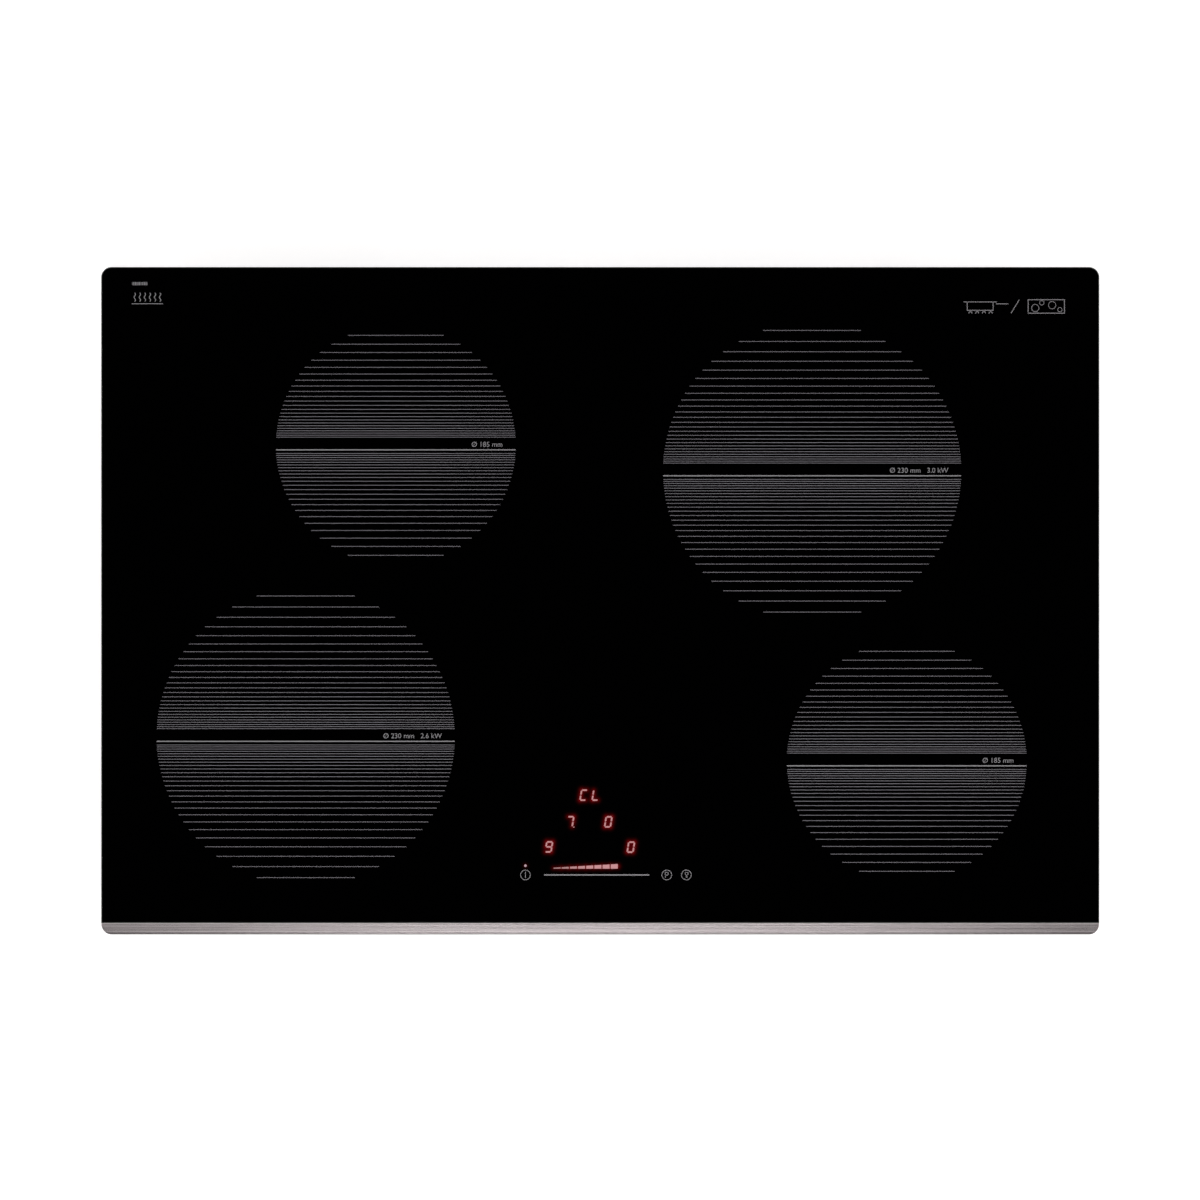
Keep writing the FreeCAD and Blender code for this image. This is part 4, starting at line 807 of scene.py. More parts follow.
@dataclass
class Solids:
    """Gathers closed solids for one mesh.

    Attributes:
        verts: Their points.
        faces: Their faces, as lists of point numbers.
    """

    verts: list = field(default_factory=list)
    faces: list = field(default_factory=list)

    def walls(self, here: int, there: int, count: int) -> None:
        """Joins two rings of points, given the number of each ring's first point."""
        self.faces += [[here + i, here + (i + 1) % count, there + (i + 1) % count, there + i]
                       for i in range(count)]

    def prism(self, outline: Sequence[Point], low: float, high: float) -> None:
        """Adds an upright prism.

        Args:
            outline: Its closed outline.
            low: Its foot's level.
            high: Its top's level.
        """
        start, count = len(self.verts), len(outline)
        self.verts += [(x, y, level) for level in (low, high) for x, y in outline]
        self.faces.append([start + i for i in reversed(range(count))])
        self.faces.append([start + count + i for i in range(count)])
        self.walls(start, start + count, count)

    def slab(self, start: Point, end: Point, low: float, high: float) -> None:
        """Adds a block over the rectangle between two opposite corners."""
        (x0, y0), (x1, y1) = start, end
        self.prism([(x0, y0), (x1, y0), (x1, y1), (x0, y1)], low, high)

    def hoop(self, centre: Point, outer: float, inner: float, low: float, high: float,
             count: int = 64) -> None:
        """Adds a flat ring.

        Args:
            centre: Its centre.
            outer: Its outer radius.
            inner: Its inner radius.
            low: Its foot's level.
            high: Its top's level.
            count: How many steps it has.
        """
        start = len(self.verts)
        for radius, level in ((outer, low), (outer, high), (inner, high), (inner, low)):
            self.verts += [(x, y, level) for x, y in circle_points(centre, radius, count)]
        for k in range(4):
            self.walls(start + k * count, start + (k + 1) % 4 * count, count)

    def tube(self, path: Sequence[Vector], radius: float, sides: int = 8, closed: bool = False) -> None:
        """Adds a round tube.

        Args:
            path: The points that it follows.
            radius: Its radius.
            sides: How many sides it has.
            closed: Whether its end joins its start.
        """
        start, count = len(self.verts), len(path)
        side = Vector((0.0, 0.0, 1.0))
        for i, point in enumerate(path):
            after = path[(i + 1) % count] if closed or i + 1 < count else point
            before = path[i - 1] if closed or i else point
            along = (after - before).normalized()
            side = (side - along * side.dot(along)).normalized()
            over = along.cross(side)
            self.verts += [point + side * (radius * math.cos(a)) + over * (radius * math.sin(a))
                           for a in (2 * math.pi * k / sides for k in range(sides))]
        for i in range(count if closed else count - 1):
            self.walls(start + i * sides, start + (i + 1) % count * sides, sides)
        if not closed:
            self.faces.append([start + k for k in range(sides)])
            self.faces.append([start + (count - 1) * sides + k for k in reversed(range(sides))])

    def make(self, name: str, finish: Finish, slot: str, body: str = CASING) -> bpy.types.Object:
        """Turns what was gathered into one piece."""
        return add_mesh(name, self.verts, self.faces, finish, body)


@dataclass
class Print(Solids):
    """Gathers what is printed or lit on the glass, in one thin layer.

    Attributes:
        root: How deep the layer sits in the glass.
        rise: How far it stands above the glass.
    """

    root: float = 0.00001
    rise: float = 0.00002

    def levels(self) -> tuple[float, float]:
        """Returns the layer's lowest and highest level."""
        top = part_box("glass_plate")[1].z
        return top - self.root, top + self.rise

    def patch(self, outline: Sequence[Point]) -> None:
        """Adds a filled outline."""
        self.prism(outline, *self.levels())

    def line(self, points: Sequence[Point], width: float, cap: int = 6) -> None:
        """Adds a line of some width with round ends."""
        self.patch(stroke(points, width, cap))

    def ring(self, centre: Point, radius: float, width: float, count: int = 64) -> None:
        """Adds a ring of some width inside a radius."""
        self.hoop(centre, radius, radius - width, *self.levels(), count)

    def show(self, name: str, finish: Finish | None = None) -> bpy.types.Object:
        """Makes the piece: in bright ink, or lit in a finish."""
        return self.make(name, finish or BRIGHT_INK, "display_case" if finish else "glass_black")


def circle_points(centre: Point, radius: float, count: int) -> list[Point]:
    """Returns points around a circle."""
    return arc_points(centre, radius, 0.0, 360.0, count)[:-1]


def arc_points(centre: Point, radius: float, start: float, end: float, count: int = 12) -> list[Point]:
    """Returns points along an arc between two angles in degrees."""
    angles = (math.radians(start + (end - start) * i / count) for i in range(count + 1))
    return [(centre[0] + radius * math.cos(a), centre[1] + radius * math.sin(a)) for a in angles]


def moved(points: Sequence[Point], by: Point) -> list[Point]:
    """Returns points moved by some distance."""
    return [(x + by[0], y + by[1]) for x, y in points]


def stroke(points: Sequence[Point], width: float, cap: int) -> list[Point]:
    """Outlines a line of some width with round ends.

    Args:
        points: The line's points.
        width: Its width.
        cap: How many steps each round end has.

    Returns:
        The outline.
    """
    line, left, right = [Vector(p) for p in points], [], []
    sharpest = 0.35
    for i, point in enumerate(line):
        into = (point - line[i - 1]).normalized() if i else (line[1] - point).normalized()
        out = (line[i + 1] - point).normalized() if i + 1 < len(line) else into
        middle = (into + out).normalized()
        reach = width / 2 / max(sharpest, middle.dot(into))
        normal = Vector((-middle.y, middle.x))
        left.append(point + normal * reach)
        right.append(point - normal * reach)

    def end(point: Vector, side: Vector) -> list[Vector]:
        """Returns the half circle round one end, clockwise from a point on it."""
        turns = (-math.pi * k / cap for k in range(1, cap))
        return [point + Matrix.Rotation(t, 2) @ (side - point) for t in turns]

    outline = left + end(line[-1], left[-1]) + right[::-1] + end(line[0], right[0])
    return [tuple(p) for p in reversed(outline)]


def middle_of(node: str) -> Vector:
    """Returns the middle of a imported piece's box."""
    low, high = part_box(node)
    return (low + high) / 2


def dress(finish: Finish, *nodes: str) -> None:
    """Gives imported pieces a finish.

    Args:
        finish: The finish.
        nodes: The pieces' names.
    """
    for name in nodes:
        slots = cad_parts[name].data.materials
        if not slots:
            slots.append(finish.material())
        for i in range(len(slots)):
            slots[i] = finish.material()
    log.info("dressed %s in %s", ", ".join(nodes), finish.name)


def smooth(piece: bpy.types.Object, angle: float = 35.0) -> None:
    """Shades a piece smoothly except across edges sharper than an angle in degrees."""
    piece.data.polygons.foreach_set("use_smooth", [True] * len(piece.data.polygons))
    piece.data.set_sharp_from_angle(angle=math.radians(angle))


# ---------------------------------------------------------------- glass top

@dataclass
class ZoneDecor:
    """The printed disc of one cooking zone: level lines that grow apart from the middle.

    Attributes:
        name: The zone's name.
        radius: The printed disc's radius.
        lines: How many lines each half has.
        label: What is printed in the gap.
        first: How far the first line is from the middle.
        step: The first distance between two lines.
        growth: How much each distance is larger than the one before.
        thin: The width of a line.
        thick: The width of the line under the label.
        thick_drop: How far that line is in front of the middle.
        label_tall: The height of the label's figures.
        label_inset: How far the label ends from the disc's edge.
        label_base: How far its foot is in front of the middle.
        shift: How far the print sits behind the coil's middle.
    """

    name: str
    radius: float
    lines: int
    label: str
    first: float = 0.0063
    step: float = 0.001516
    growth: float = 1.0745
    thin: float = 0.0005
    thick: float = 0.00088
    thick_drop: float = 0.0035
    label_tall: float = 0.0040
    label_inset: float = 0.0100
    label_base: float = 0.0011
    shift: float = 0.0003

    def centre(self) -> Vector:
        """Returns the disc's middle, just behind its coil's."""
        return middle_of(f"coil_mica_{self.name}") + Vector((0.0, self.shift, 0.0))

    def half_width(self, offset: float) -> float:
        """Returns half the disc's width at a distance from its middle."""
        return math.sqrt(self.radius ** 2 - offset ** 2)

    def offsets(self) -> list[float]:
        """Returns the lines' distances from the middle."""
        return [self.first + self.step * (self.growth ** n - 1) / (self.growth - 1)
                for n in range(self.lines)]

    def bar(self, layer: Print, offset: float, width: float) -> None:
        """Adds one level line that ends on the disc's edge.

        Args:
            layer: Where it is gathered.
            offset: How far it is behind the disc's middle.
            width: Its width.
        """
        middle, half = self.centre(), self.half_width(offset)
        y = middle.y + offset
        layer.slab((middle.x - half, y - width / 2), (middle.x + half, y + width / 2), *layer.levels())

    def build(self) -> None:
        """Prints the disc and its label."""
        lines, accent = Print(), Print()
        for offset in self.offsets():
            self.bar(lines, offset, self.thin)
            self.bar(lines, -offset, self.thin)
        self.bar(accent, -self.thick_drop, self.thick)
        lines.make(f"zone_lines_{self.name}", DECOR_INK, "glass_black")
        accent.show(f"zone_accent_{self.name}")
        middle = self.centre()
        end = middle.x + self.half_width(self.label_base) - self.label_inset
        print_text(f"zone_label_{self.name}", self.label, (end, middle.y - self.label_base), self.label_tall)
        log.info("printed zone %s with %d lines", self.name, 2 * self.lines + 1)


def print_text(name: str, text: str, end: Point, tall: float) -> None:
    """Prints figures that end at a point.

    Args:
        name: The piece's name.
        text: What it says.
        end: The right-hand end of its foot line.
        tall: The height of its figures.
    """
    figure_share = 0.73
    curve = bpy.data.curves.new(name, "FONT")
    curve.body, curve.align_x, curve.size = text, "RIGHT", tall / figure_share
    low, high = Print().levels()
    curve.extrude, curve.resolution_u = (high - low) / 2, 4
    source = bpy.data.objects.new(name, curve)
    mesh = bpy.data.meshes.new_from_object(source)
    bpy.data.objects.remove(source)
    mesh.transform(Matrix.Translation((*end, (low + high) / 2)))
    work = bmesh.new()
    work.from_mesh(mesh)
    bmesh.ops.remove_doubles(work, verts=work.verts, dist=1e-7)
    work.to_mesh(mesh)
    work.free()
    add_mesh(name, [v.co for v in mesh.vertices], [list(p.vertices) for p in mesh.polygons],
             BRIGHT_INK)


SIGN_LINES = (
    ((-0.037, 0.0035), (-0.037, -0.003), (-0.017, -0.003), (-0.017, 0.0035)),
    ((-0.0395, 0.0035), (-0.0145, 0.0035)),
    ((-0.0145, 0.0020), (-0.0055, 0.0020)),
    ((-0.003, -0.0050), (0.003, 0.0050)),
)
SIGN_BOX = (0.010, -0.0052), (0.038, 0.0052)
SIGN_ZONES = ((0.0155, -0.0012, 0.0030), (0.0205, 0.0028, 0.0019),
              (0.0285, 0.0010, 0.0030), (0.0345, -0.0025, 0.0019))
TICK_WIDTHS = (0.0003, 0.0006, 0.0003, 0.0009, 0.0003, 0.0006, 0.0009, 0.0003, 0.0003, 0.0006, 0.0003,
               0.0009, 0.0006, 0.0003)


@dataclass
class GlassTop:
    """The glass plate with its trim, seal and glue, and what is printed away from the controls.

    Attributes:
        line: The width of the printed signs' lines.
        sign_middle: The middle of the pictograms at the rear right.
        winding_start: The middle of the first coil turn under the pan, from the sign's middle.
        winding_pitch: The distance from turn to turn.
        winding_radius: A turn's radius.
        ticks_start: Where the row of ticks at the rear left begins.
        tick_half: Half a tick's length.
        tick_gap: The gap between two ticks.
        heat_drop: How far the plate of the heat sign is in front of the ticks.
        heat_wide: Its width.
        waves: How many waves of heat rise from it.
        wave_start: Where the first wave stands, from the plate's left end and from its line.
        wave_pitch: The distance from wave to wave.
        wave_swing: How far a wave swings to each side.
        wave_tall: A wave's height.
        zones: The printed zones.
    """

    line: float = 0.00055
    sign_middle: Point = (0.3200, 0.2270)
    winding_start: Point = (-0.0345, -0.0052)
    winding_pitch: float = 0.0052
    winding_radius: float = 0.0012
    ticks_start: Point = (-0.3610, 0.2446)
    tick_half: float = 0.0012
    tick_gap: float = 0.00035
    heat_drop: float = 0.0155
    heat_wide: float = 0.0235
    waves: int = 6
    wave_start: Point = (0.002, 0.0018)
    wave_pitch: float = 0.0039
    wave_swing: float = 0.0006
    wave_tall: float = 0.0065
    zones: tuple[ZoneDecor, ...] = (
        ZoneDecor("front_left", 0.1150, 26, "Ø 230 mm   2.6 kW"),
        ZoneDecor("rear_left", 0.0925, 23, "Ø 185 mm"),
        ZoneDecor("rear_right", 0.1150, 26, "Ø 230 mm   3.0 kW"),
        ZoneDecor("front_right", 0.0925, 23, "Ø 185 mm"),
    )

    def build(self) -> None:
        """Dresses the plate and prints it."""
        dress(GLASS, "glass_plate")
        dress(TRIM_METAL, "front_trim")
        dress(SEAL_FOAM, "seal_gasket")
        dress(BLACK_SILICONE, "glass_adhesive")
        for zone in self.zones:
            zone.build()
        self.print_signs()
        self.print_ticks()

    def print_signs(self) -> None:
        """Prints a pan on a coil, a bar, and the plate's layout of zones."""
        signs, (x, y) = Print(), self.sign_middle
        lines = [moved(points, (x, y)) for points in SIGN_LINES]
        for n in range(4):
            centre = x + self.winding_start[0] + n * self.winding_pitch, y + self.winding_start[1]
            lines.append(arc_points(centre, self.winding_radius, 180, 0))
        (left, front), (right, back) = moved(SIGN_BOX, (x, y))
        lines.append([(left, front), (right, front), (right, back), (left, back),
                      (left, front + self.line * 1.5)])
        for points in lines:
            signs.line(points, self.line)
        for dx, dy, radius in SIGN_ZONES:
            signs.ring((x + dx, y + dy), radius, self.line * 0.7, 40)
        signs.show("printed_signs")

    def print_ticks(self) -> None:
        """Prints a row of fine ticks and, under it, the sign of a plate over rising heat."""
        ticks, (x, y) = Print(), self.ticks_start
        foot = y - self.heat_drop
        ends = [(x, foot), (x + self.heat_wide, foot)]
        start = x + self.wave_start[0], foot + self.wave_start[1]
        for width in TICK_WIDTHS:
            ticks.slab((x, y - self.tick_half), (x + width, y + self.tick_half), *ticks.levels())
            x += width + self.tick_gap
        ticks.line(ends, self.line)
        for n in range(self.waves):
            wave = [(self.wave_swing * math.sin(k * math.pi / 4), self.wave_tall * k / 12)
                    for k in range(13)]
            ticks.line(moved(wave, (start[0] + n * self.wave_pitch, start[1])), self.line)
        ticks.show("printed_ticks")


# ---------------------------------------------------------------- touch controls

class Segment(Enum):
    """The seven segments of a digit, each from one corner of its frame to another."""

    TOP = ((-1, 2), (1, 2))
    UPPER_RIGHT = ((1, 2), (1, 0))
    LOWER_RIGHT = ((1, 0), (1, -2))
    BOTTOM = ((-1, -2), (1, -2))
    LOWER_LEFT = ((-1, 0), (-1, -2))
    UPPER_LEFT = ((-1, 2), (-1, 0))
    MIDDLE = ((-1, 0), (1, 0))


LEFT_SIDE = (Segment.TOP, Segment.UPPER_LEFT, Segment.LOWER_LEFT, Segment.BOTTOM)
FIGURES = {
    "C": LEFT_SIDE,
    "L": LEFT_SIDE[1:],
    "7": (Segment.TOP, Segment.UPPER_RIGHT, Segment.LOWER_RIGHT),
    "0": (*LEFT_SIDE, Segment.UPPER_RIGHT, Segment.LOWER_RIGHT),
    "9": (Segment.TOP, Segment.UPPER_LEFT, Segment.MIDDLE, Segment.UPPER_RIGHT, Segment.LOWER_RIGHT,
          Segment.BOTTOM),
}


@dataclass
class Digit:
    """One lit seven-segment digit.

    Attributes:
        figure: What it shows.
        middle: Its middle.
        wide: The distance between its upright segments' centre lines.
        tall: The distance between its top and bottom segments' centre lines.
        thick: The segments' width.
        tip: How far a segment's point reaches, as a share of that width.
        shoulder: How far its full width begins from its end, as a share of it.
        gap: The gap at each end of a segment.
        slant: How far it leans, in degrees.
        dot: Whether the point after the digit is lit.
        dot_place: Where that point is, from the digit's middle.
        dot_radius: The point's radius.
    """

    figure: str
    middle: Point
    wide: float = 0.00445
    tall: float = 0.0077
    thick: float = 0.0012
    tip: float = 0.055
    shoulder: float = 0.225
    gap: float = 0.0003
    slant: float = 9.2
    dot: bool = False
    dot_place: Point = (0.0029, -0.0042)
    dot_radius: float = 0.00045

    def lean(self, point: Vector) -> Point:
        """Returns where a point of the upright digit is on the leaning one."""
        x = point.x + point.y * math.tan(math.radians(self.slant))
        return self.middle[0] + x, self.middle[1] + point.y

    def strokes(self) -> list[tuple[Vector, Vector]]:
        """Finds the lit segments' ends on the upright digit.

        Returns:
            The two ends of each segment.
        """
        scale = Vector((self.wide / 2, self.tall / 4))
        found = []
        for segment in FIGURES[self.figure]:
            a, b = (Vector(corner) * scale for corner in segment.value)
            along = (b - a).normalized()
            found.append((a + along * self.gap, b - along * self.gap))
        return found

    def add_to(self, lit: Print) -> None:
        """Adds the lit segments, each with pointed ends.

        Args:
            lit: Where they are gathered.
        """
        for a, b in self.strokes():
            along = (b - a).normalized() * self.thick
            side, tip, shoulder = Vector((-along.y, along.x)) / 2, along * self.tip, along * self.shoulder
            outline = [a - tip, a + shoulder - side, b - shoulder - side, b + tip,
                       b - shoulder + side, a + shoulder + side]
            lit.patch([self.lean(p) for p in outline])
        if self.dot:
            lit.patch(circle_points(moved([self.dot_place], self.middle)[0], self.dot_radius, 16))


LitLine = tuple[Point, Point, float]


@dataclass
class Glow:
    """Light that spreads in the glass around lit pieces.

    Attributes:
        reach: How far it spreads before it has faded to a third.
        falloff: How steeply it fades beyond that.
        margin: How far its plate reaches past the lit pieces.
        cell: The size of its plate's cells.
        rise: How far its plate stands above the glass, and how deep it sits in it.
        lines: The two ends of each lit line, and how strong it is.
    """

    reach: float = 0.00135
    falloff: float = 1.25
    margin: float = 0.0075
    cell: float = 0.0004
    rise: float = 0.000008
    lines: list[LitLine] = field(default_factory=list)

    def build(self, name: str) -> None:
        """Adds the plate of light over the lit lines.

        Args:
            name: The plate's name.
        """
        points = [p for a, b, _ in self.lines for p in (a, b)]
        x0, y0 = (min(p[k] for p in points) - self.margin for k in (0, 1))
        x1, y1 = (max(p[k] for p in points) + self.margin for k in (0, 1))
        columns, rows = (round((end - start) / self.cell) for start, end in ((x0, x1), (y0, y1)))
        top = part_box("glass_plate")[1].z
        grid = [(x0 + (x1 - x0) * i / columns, y0 + (y1 - y0) * j / rows)
                for j in range(rows + 1) for i in range(columns + 1)]
        wide = columns + 1
        faces = [[j * wide + i, j * wide + i + 1, (j + 1) * wide + i + 1, (j + 1) * wide + i]
                 for j in range(rows) for i in range(columns)]
        rim = [*range(wide), *(j * wide + columns for j in range(1, rows + 1)),
               *(rows * wide + i for i in range(columns - 1, -1, -1)),
               *(j * wide for j in range(rows - 1, 0, -1))]
        foot, count = len(grid), len(rim)
        verts = [(*p, top + self.rise) for p in grid] + [(*grid[k], top - self.rise) for k in rim]
        faces += [[rim[k], rim[(k + 1) % count], foot + (k + 1) % count, foot + k] for k in range(count)]
        faces.append([foot + k for k in range(count)])
        made = add_mesh(name, verts, faces, GLOWING_GLASS)
        glow = made.data.attributes.new("glow", "FLOAT", "POINT")
        glow.data.foreach_set("value", [self.share(p) for p in grid] + [0.0] * count)

    def share(self, point: Point) -> float:
        """Adds up the light at a point.

        Args:
            point: The point.

        Returns:
            How strong the light is, from 0 to 1.
        """
        total = 0.0
        for (ax, ay), (bx, by), strength in self.lines:
            dx, dy = bx - ax, by - ay
            along = ((point[0] - ax) * dx + (point[1] - ay) * dy) / max(dx * dx + dy * dy, 1e-12)
            along = max(0.0, min(1.0, along))
            away = math.hypot(point[0] - ax - dx * along, point[1] - ay - dy * along)
            if away < self.margin:
                fading = math.exp(-(away / self.reach) ** self.falloff) * (1.0 - away / self.margin)
                total += strength * fading
        return min(1.0, total)


ON_SIGN = ((0.0, -0.0022), (0.0, 0.0022))
BOOST_STEM = ((-0.0012, -0.0019), (-0.0012, 0.0020))
BOOST_BOWL = ((-0.0010, 0.0020), (0.0001, 0.0020),
              *arc_points((0.0001, 0.0009), 0.0011, 90, -90, 10), (-0.0012, -0.0002))
LOCK_STEM = ((0.0002, -0.0011), (0.0002, -0.0004))
LOCK_BOW, LOCK_FOOT = (0.0002, 0.0010), (0.0002, -0.0015)


@dataclass
class TouchControls:
    """The control panel at the front: printed keys and slider, lit digits, level bar and lamp.

    Attributes:
        key_y: How far back the keys' middle line is.
        key_radius: A key ring's outer radius.
        line: The width of the printed lines.
        on_x: Where the on/off key is.
        boost_x: Where the boost key is.
        lock_x: Where the key lock is.
        bow_radius: The radius of the key lock's bow.
        foot_radius: The radius of the dot under it.
        slider: The slider's two ends along X.
        slider_thick: The slider's width.
        lamp_rise: How far the standby lamp is behind the on/off key.
        lamp_radius: The lamp's radius.
        lamp_spread: How strongly it spreads in the glass.
        bars: How many bars the level has.
        bar_start: Where the first bar begins.
        bar_foot: The level of the bars' foot.
        bar_pitch: The distance from bar to bar.
        bar_wide: A bar's width.
        bar_low: The first bar's height at its left end.
        bar_high: The last bar's height at its right end.
        bar_glow: How bright the first bar is.
        bar_spread: How strongly it spreads in the glass.
        bar_gain: How much stronger the last bar is in both.
        spread: The light in the glass.
        digits: The lit digits.
    """

    key_y: float = -0.21145
    key_radius: float = 0.0040
    line: float = 0.00048
    on_x: float = -0.0577
    boost_x: float = 0.0513
    lock_x: float = 0.0664
    bow_radius: float = 0.0014
    foot_radius: float = 0.0006
    slider: Point = (-0.0430, 0.0374)
    slider_thick: float = 0.00098
    lamp_rise: float = 0.00715
    lamp_radius: float = 0.00095
    lamp_spread: float = 0.35
    bars: int = 8
    bar_start: float = -0.0360
    bar_foot: float = -0.2066
    bar_pitch: float = 0.0063
    bar_wide: float = 0.0054
    bar_low: float = 0.00075
    bar_high: float = 0.0036
    bar_glow: float = 0.35
    bar_spread: float = 0.5
    bar_gain: float = 1.1
    spread: Glow = field(default_factory=Glow)
    digits: tuple[Digit, ...] = (
        Digit("C", (-0.01275, -0.1499)), Digit("L", (-0.0034, -0.1499)),
        Digit("7", (-0.0233, -0.1704), dot=True), Digit("0", (0.0062, -0.1705)),
        Digit("9", (-0.0396, -0.1898)), Digit("0", (0.0236, -0.1900)),
    )

    def build(self) -> None:
        """Dresses the unit under the glass, prints the keys and lights the display."""
        dress(PALE_PLASTIC, "control_carrier")
        dress(BOARD_LACQUER, "control_board")
        dress(PALE_SILICONE, "display_modules")
        dress(PAD_FOAM, "touch_pads")
        dress(RED_SILICONE, "control_cable")
        self.print_keys()
        self.light_digits()
        self.light_level()
        self.light_lamp()
        self.spread.build("display_glow")

    def print_keys(self) -> None:
        """Prints the three keys and the slider."""
        keys, slider, y = Print(), Print(), self.key_y
        for x in (self.on_x, self.boost_x, self.lock_x):
            keys.ring((x, y), self.key_radius, self.line)
        for sign, x in ((ON_SIGN, self.on_x), (BOOST_STEM, self.boost_x), (BOOST_BOWL, self.boost_x),
                        (LOCK_STEM, self.lock_x)):
            keys.line(moved(sign, (x, y)), self.line)
        bow, foot = moved((LOCK_BOW, LOCK_FOOT), (self.lock_x, y))
        keys.ring(bow, self.bow_radius, self.line, 40)
        keys.patch(circle_points(foot, self.foot_radius, 16))
        keys.show("printed_keys")
        slider.line([(x, y) for x in self.slider], self.slider_thick, 10)
        slider.show("printed_slider")
        log.info("printed the keys and the slider")

    def light_digits(self) -> None:
        """Lights the digits."""
        for n, digit in enumerate(self.digits):
            lit = Print()
            digit.add_to(lit)
            lit.show(f"lit_digit_{n}", LIT_RED)
            self.spread.lines += [(digit.lean(a), digit.lean(b), 1.0) for a, b in digit.strokes()]
        log.info("lit %d digits", len(self.digits))

    def light_level(self) -> None:
        """Lights the rising bars of the level."""
        lit, levels = Print(), []
        span, foot = self.bar_pitch * (self.bars - 1) + self.bar_wide, self.bar_foot
        for n in range(self.bars):
            gain = self.bar_gain * n / (self.bars - 1)
            x0 = self.bar_start + n * self.bar_pitch
            x1 = x0 + self.bar_wide
            left, right = (self.bar_low + (self.bar_high - self.bar_low) * (x - self.bar_start) / span
                           for x in (x0, x1))
            lit.patch([(x0, foot), (x1, foot), (x1, foot + right), (x0, foot + left)])
            levels += [min(1.0, self.bar_glow + gain)] * 8
            middle = foot + (left + right) / 4
            self.spread.lines.append(((x0, middle), (x1, middle), self.bar_spread + gain))
        made = lit.show("lit_level", LIT_BAR)
        made.data.attributes.new("level", "FLOAT", "POINT").data.foreach_set("value", levels)
        log.info("lit %d bars of the level", self.bars)

    def light_lamp(self) -> None:
        """Lights the standby lamp above the on/off key."""
        spot, lamp = (self.on_x, self.key_y + self.lamp_rise), Print()
        lamp.patch(circle_points(spot, self.lamp_radius, 24))
        lamp.show("lit_lamp", LIT_LAMP)
        self.spread.lines.append((spot, spot, self.lamp_spread))


# ---------------------------------------------------------------- casing

@dataclass
class Casing:
    """The pan, frame, tray and their screws, and the blank rating plate under the pan.

    Attributes:
        wide: The rating plate's width.
        deep: Its depth.
        thick: Its thickness.
        back: How far back from the pan's middle it sits.
        emboss: How far the pan's middle is sunk.
        rows: How many blank fields the plate has.
        inset: How far they are from its edge.
        line: The width of the lines between them.
        ink: How thick the lines are.
    """

    wide: float = 0.11
    deep: float = 0.06
    thick: float = 0.00025
    back: float = 0.06
    emboss: float = 0.004
    rows: int = 5
    inset: float = 0.004
    line: float = 0.0004
    ink: float = 0.00002

    def build(self) -> None:
        """Dresses the sheet metal and adds the plate."""
        dress(ZINC, "base_pan", "support_frame")
        dress(BRIGHT_ZINC, "case_screws")
        dress(MILL_ALUMINIUM, "coil_tray")
        self.rating_plate()

    def rating_plate(self) -> None:
        """Adds a silver plate with ruled blank fields in the pan's sunken middle."""
        level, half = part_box("base_pan")[0].z + self.emboss, self.wide / 2
        face = level - self.thick
        plate, rules = Solids(), Solids()
        plate.slab((-half, self.back), (half, self.back + self.deep), face, level)
        row = (self.deep - 2 * self.inset) / self.rows
        for n in range(self.rows + 1):
            y = self.back + self.inset + n * row
            rules.slab((self.inset - half, y), (half - self.inset, y + self.line), face - self.ink, face)
        plate.make("rating_plate", LABEL_SILVER, "pan_steel")
        rules.make("rating_rules", LABEL_INK, "pan_steel")
        log.info("added the blank rating plate")


# ---------------------------------------------------------------- coils

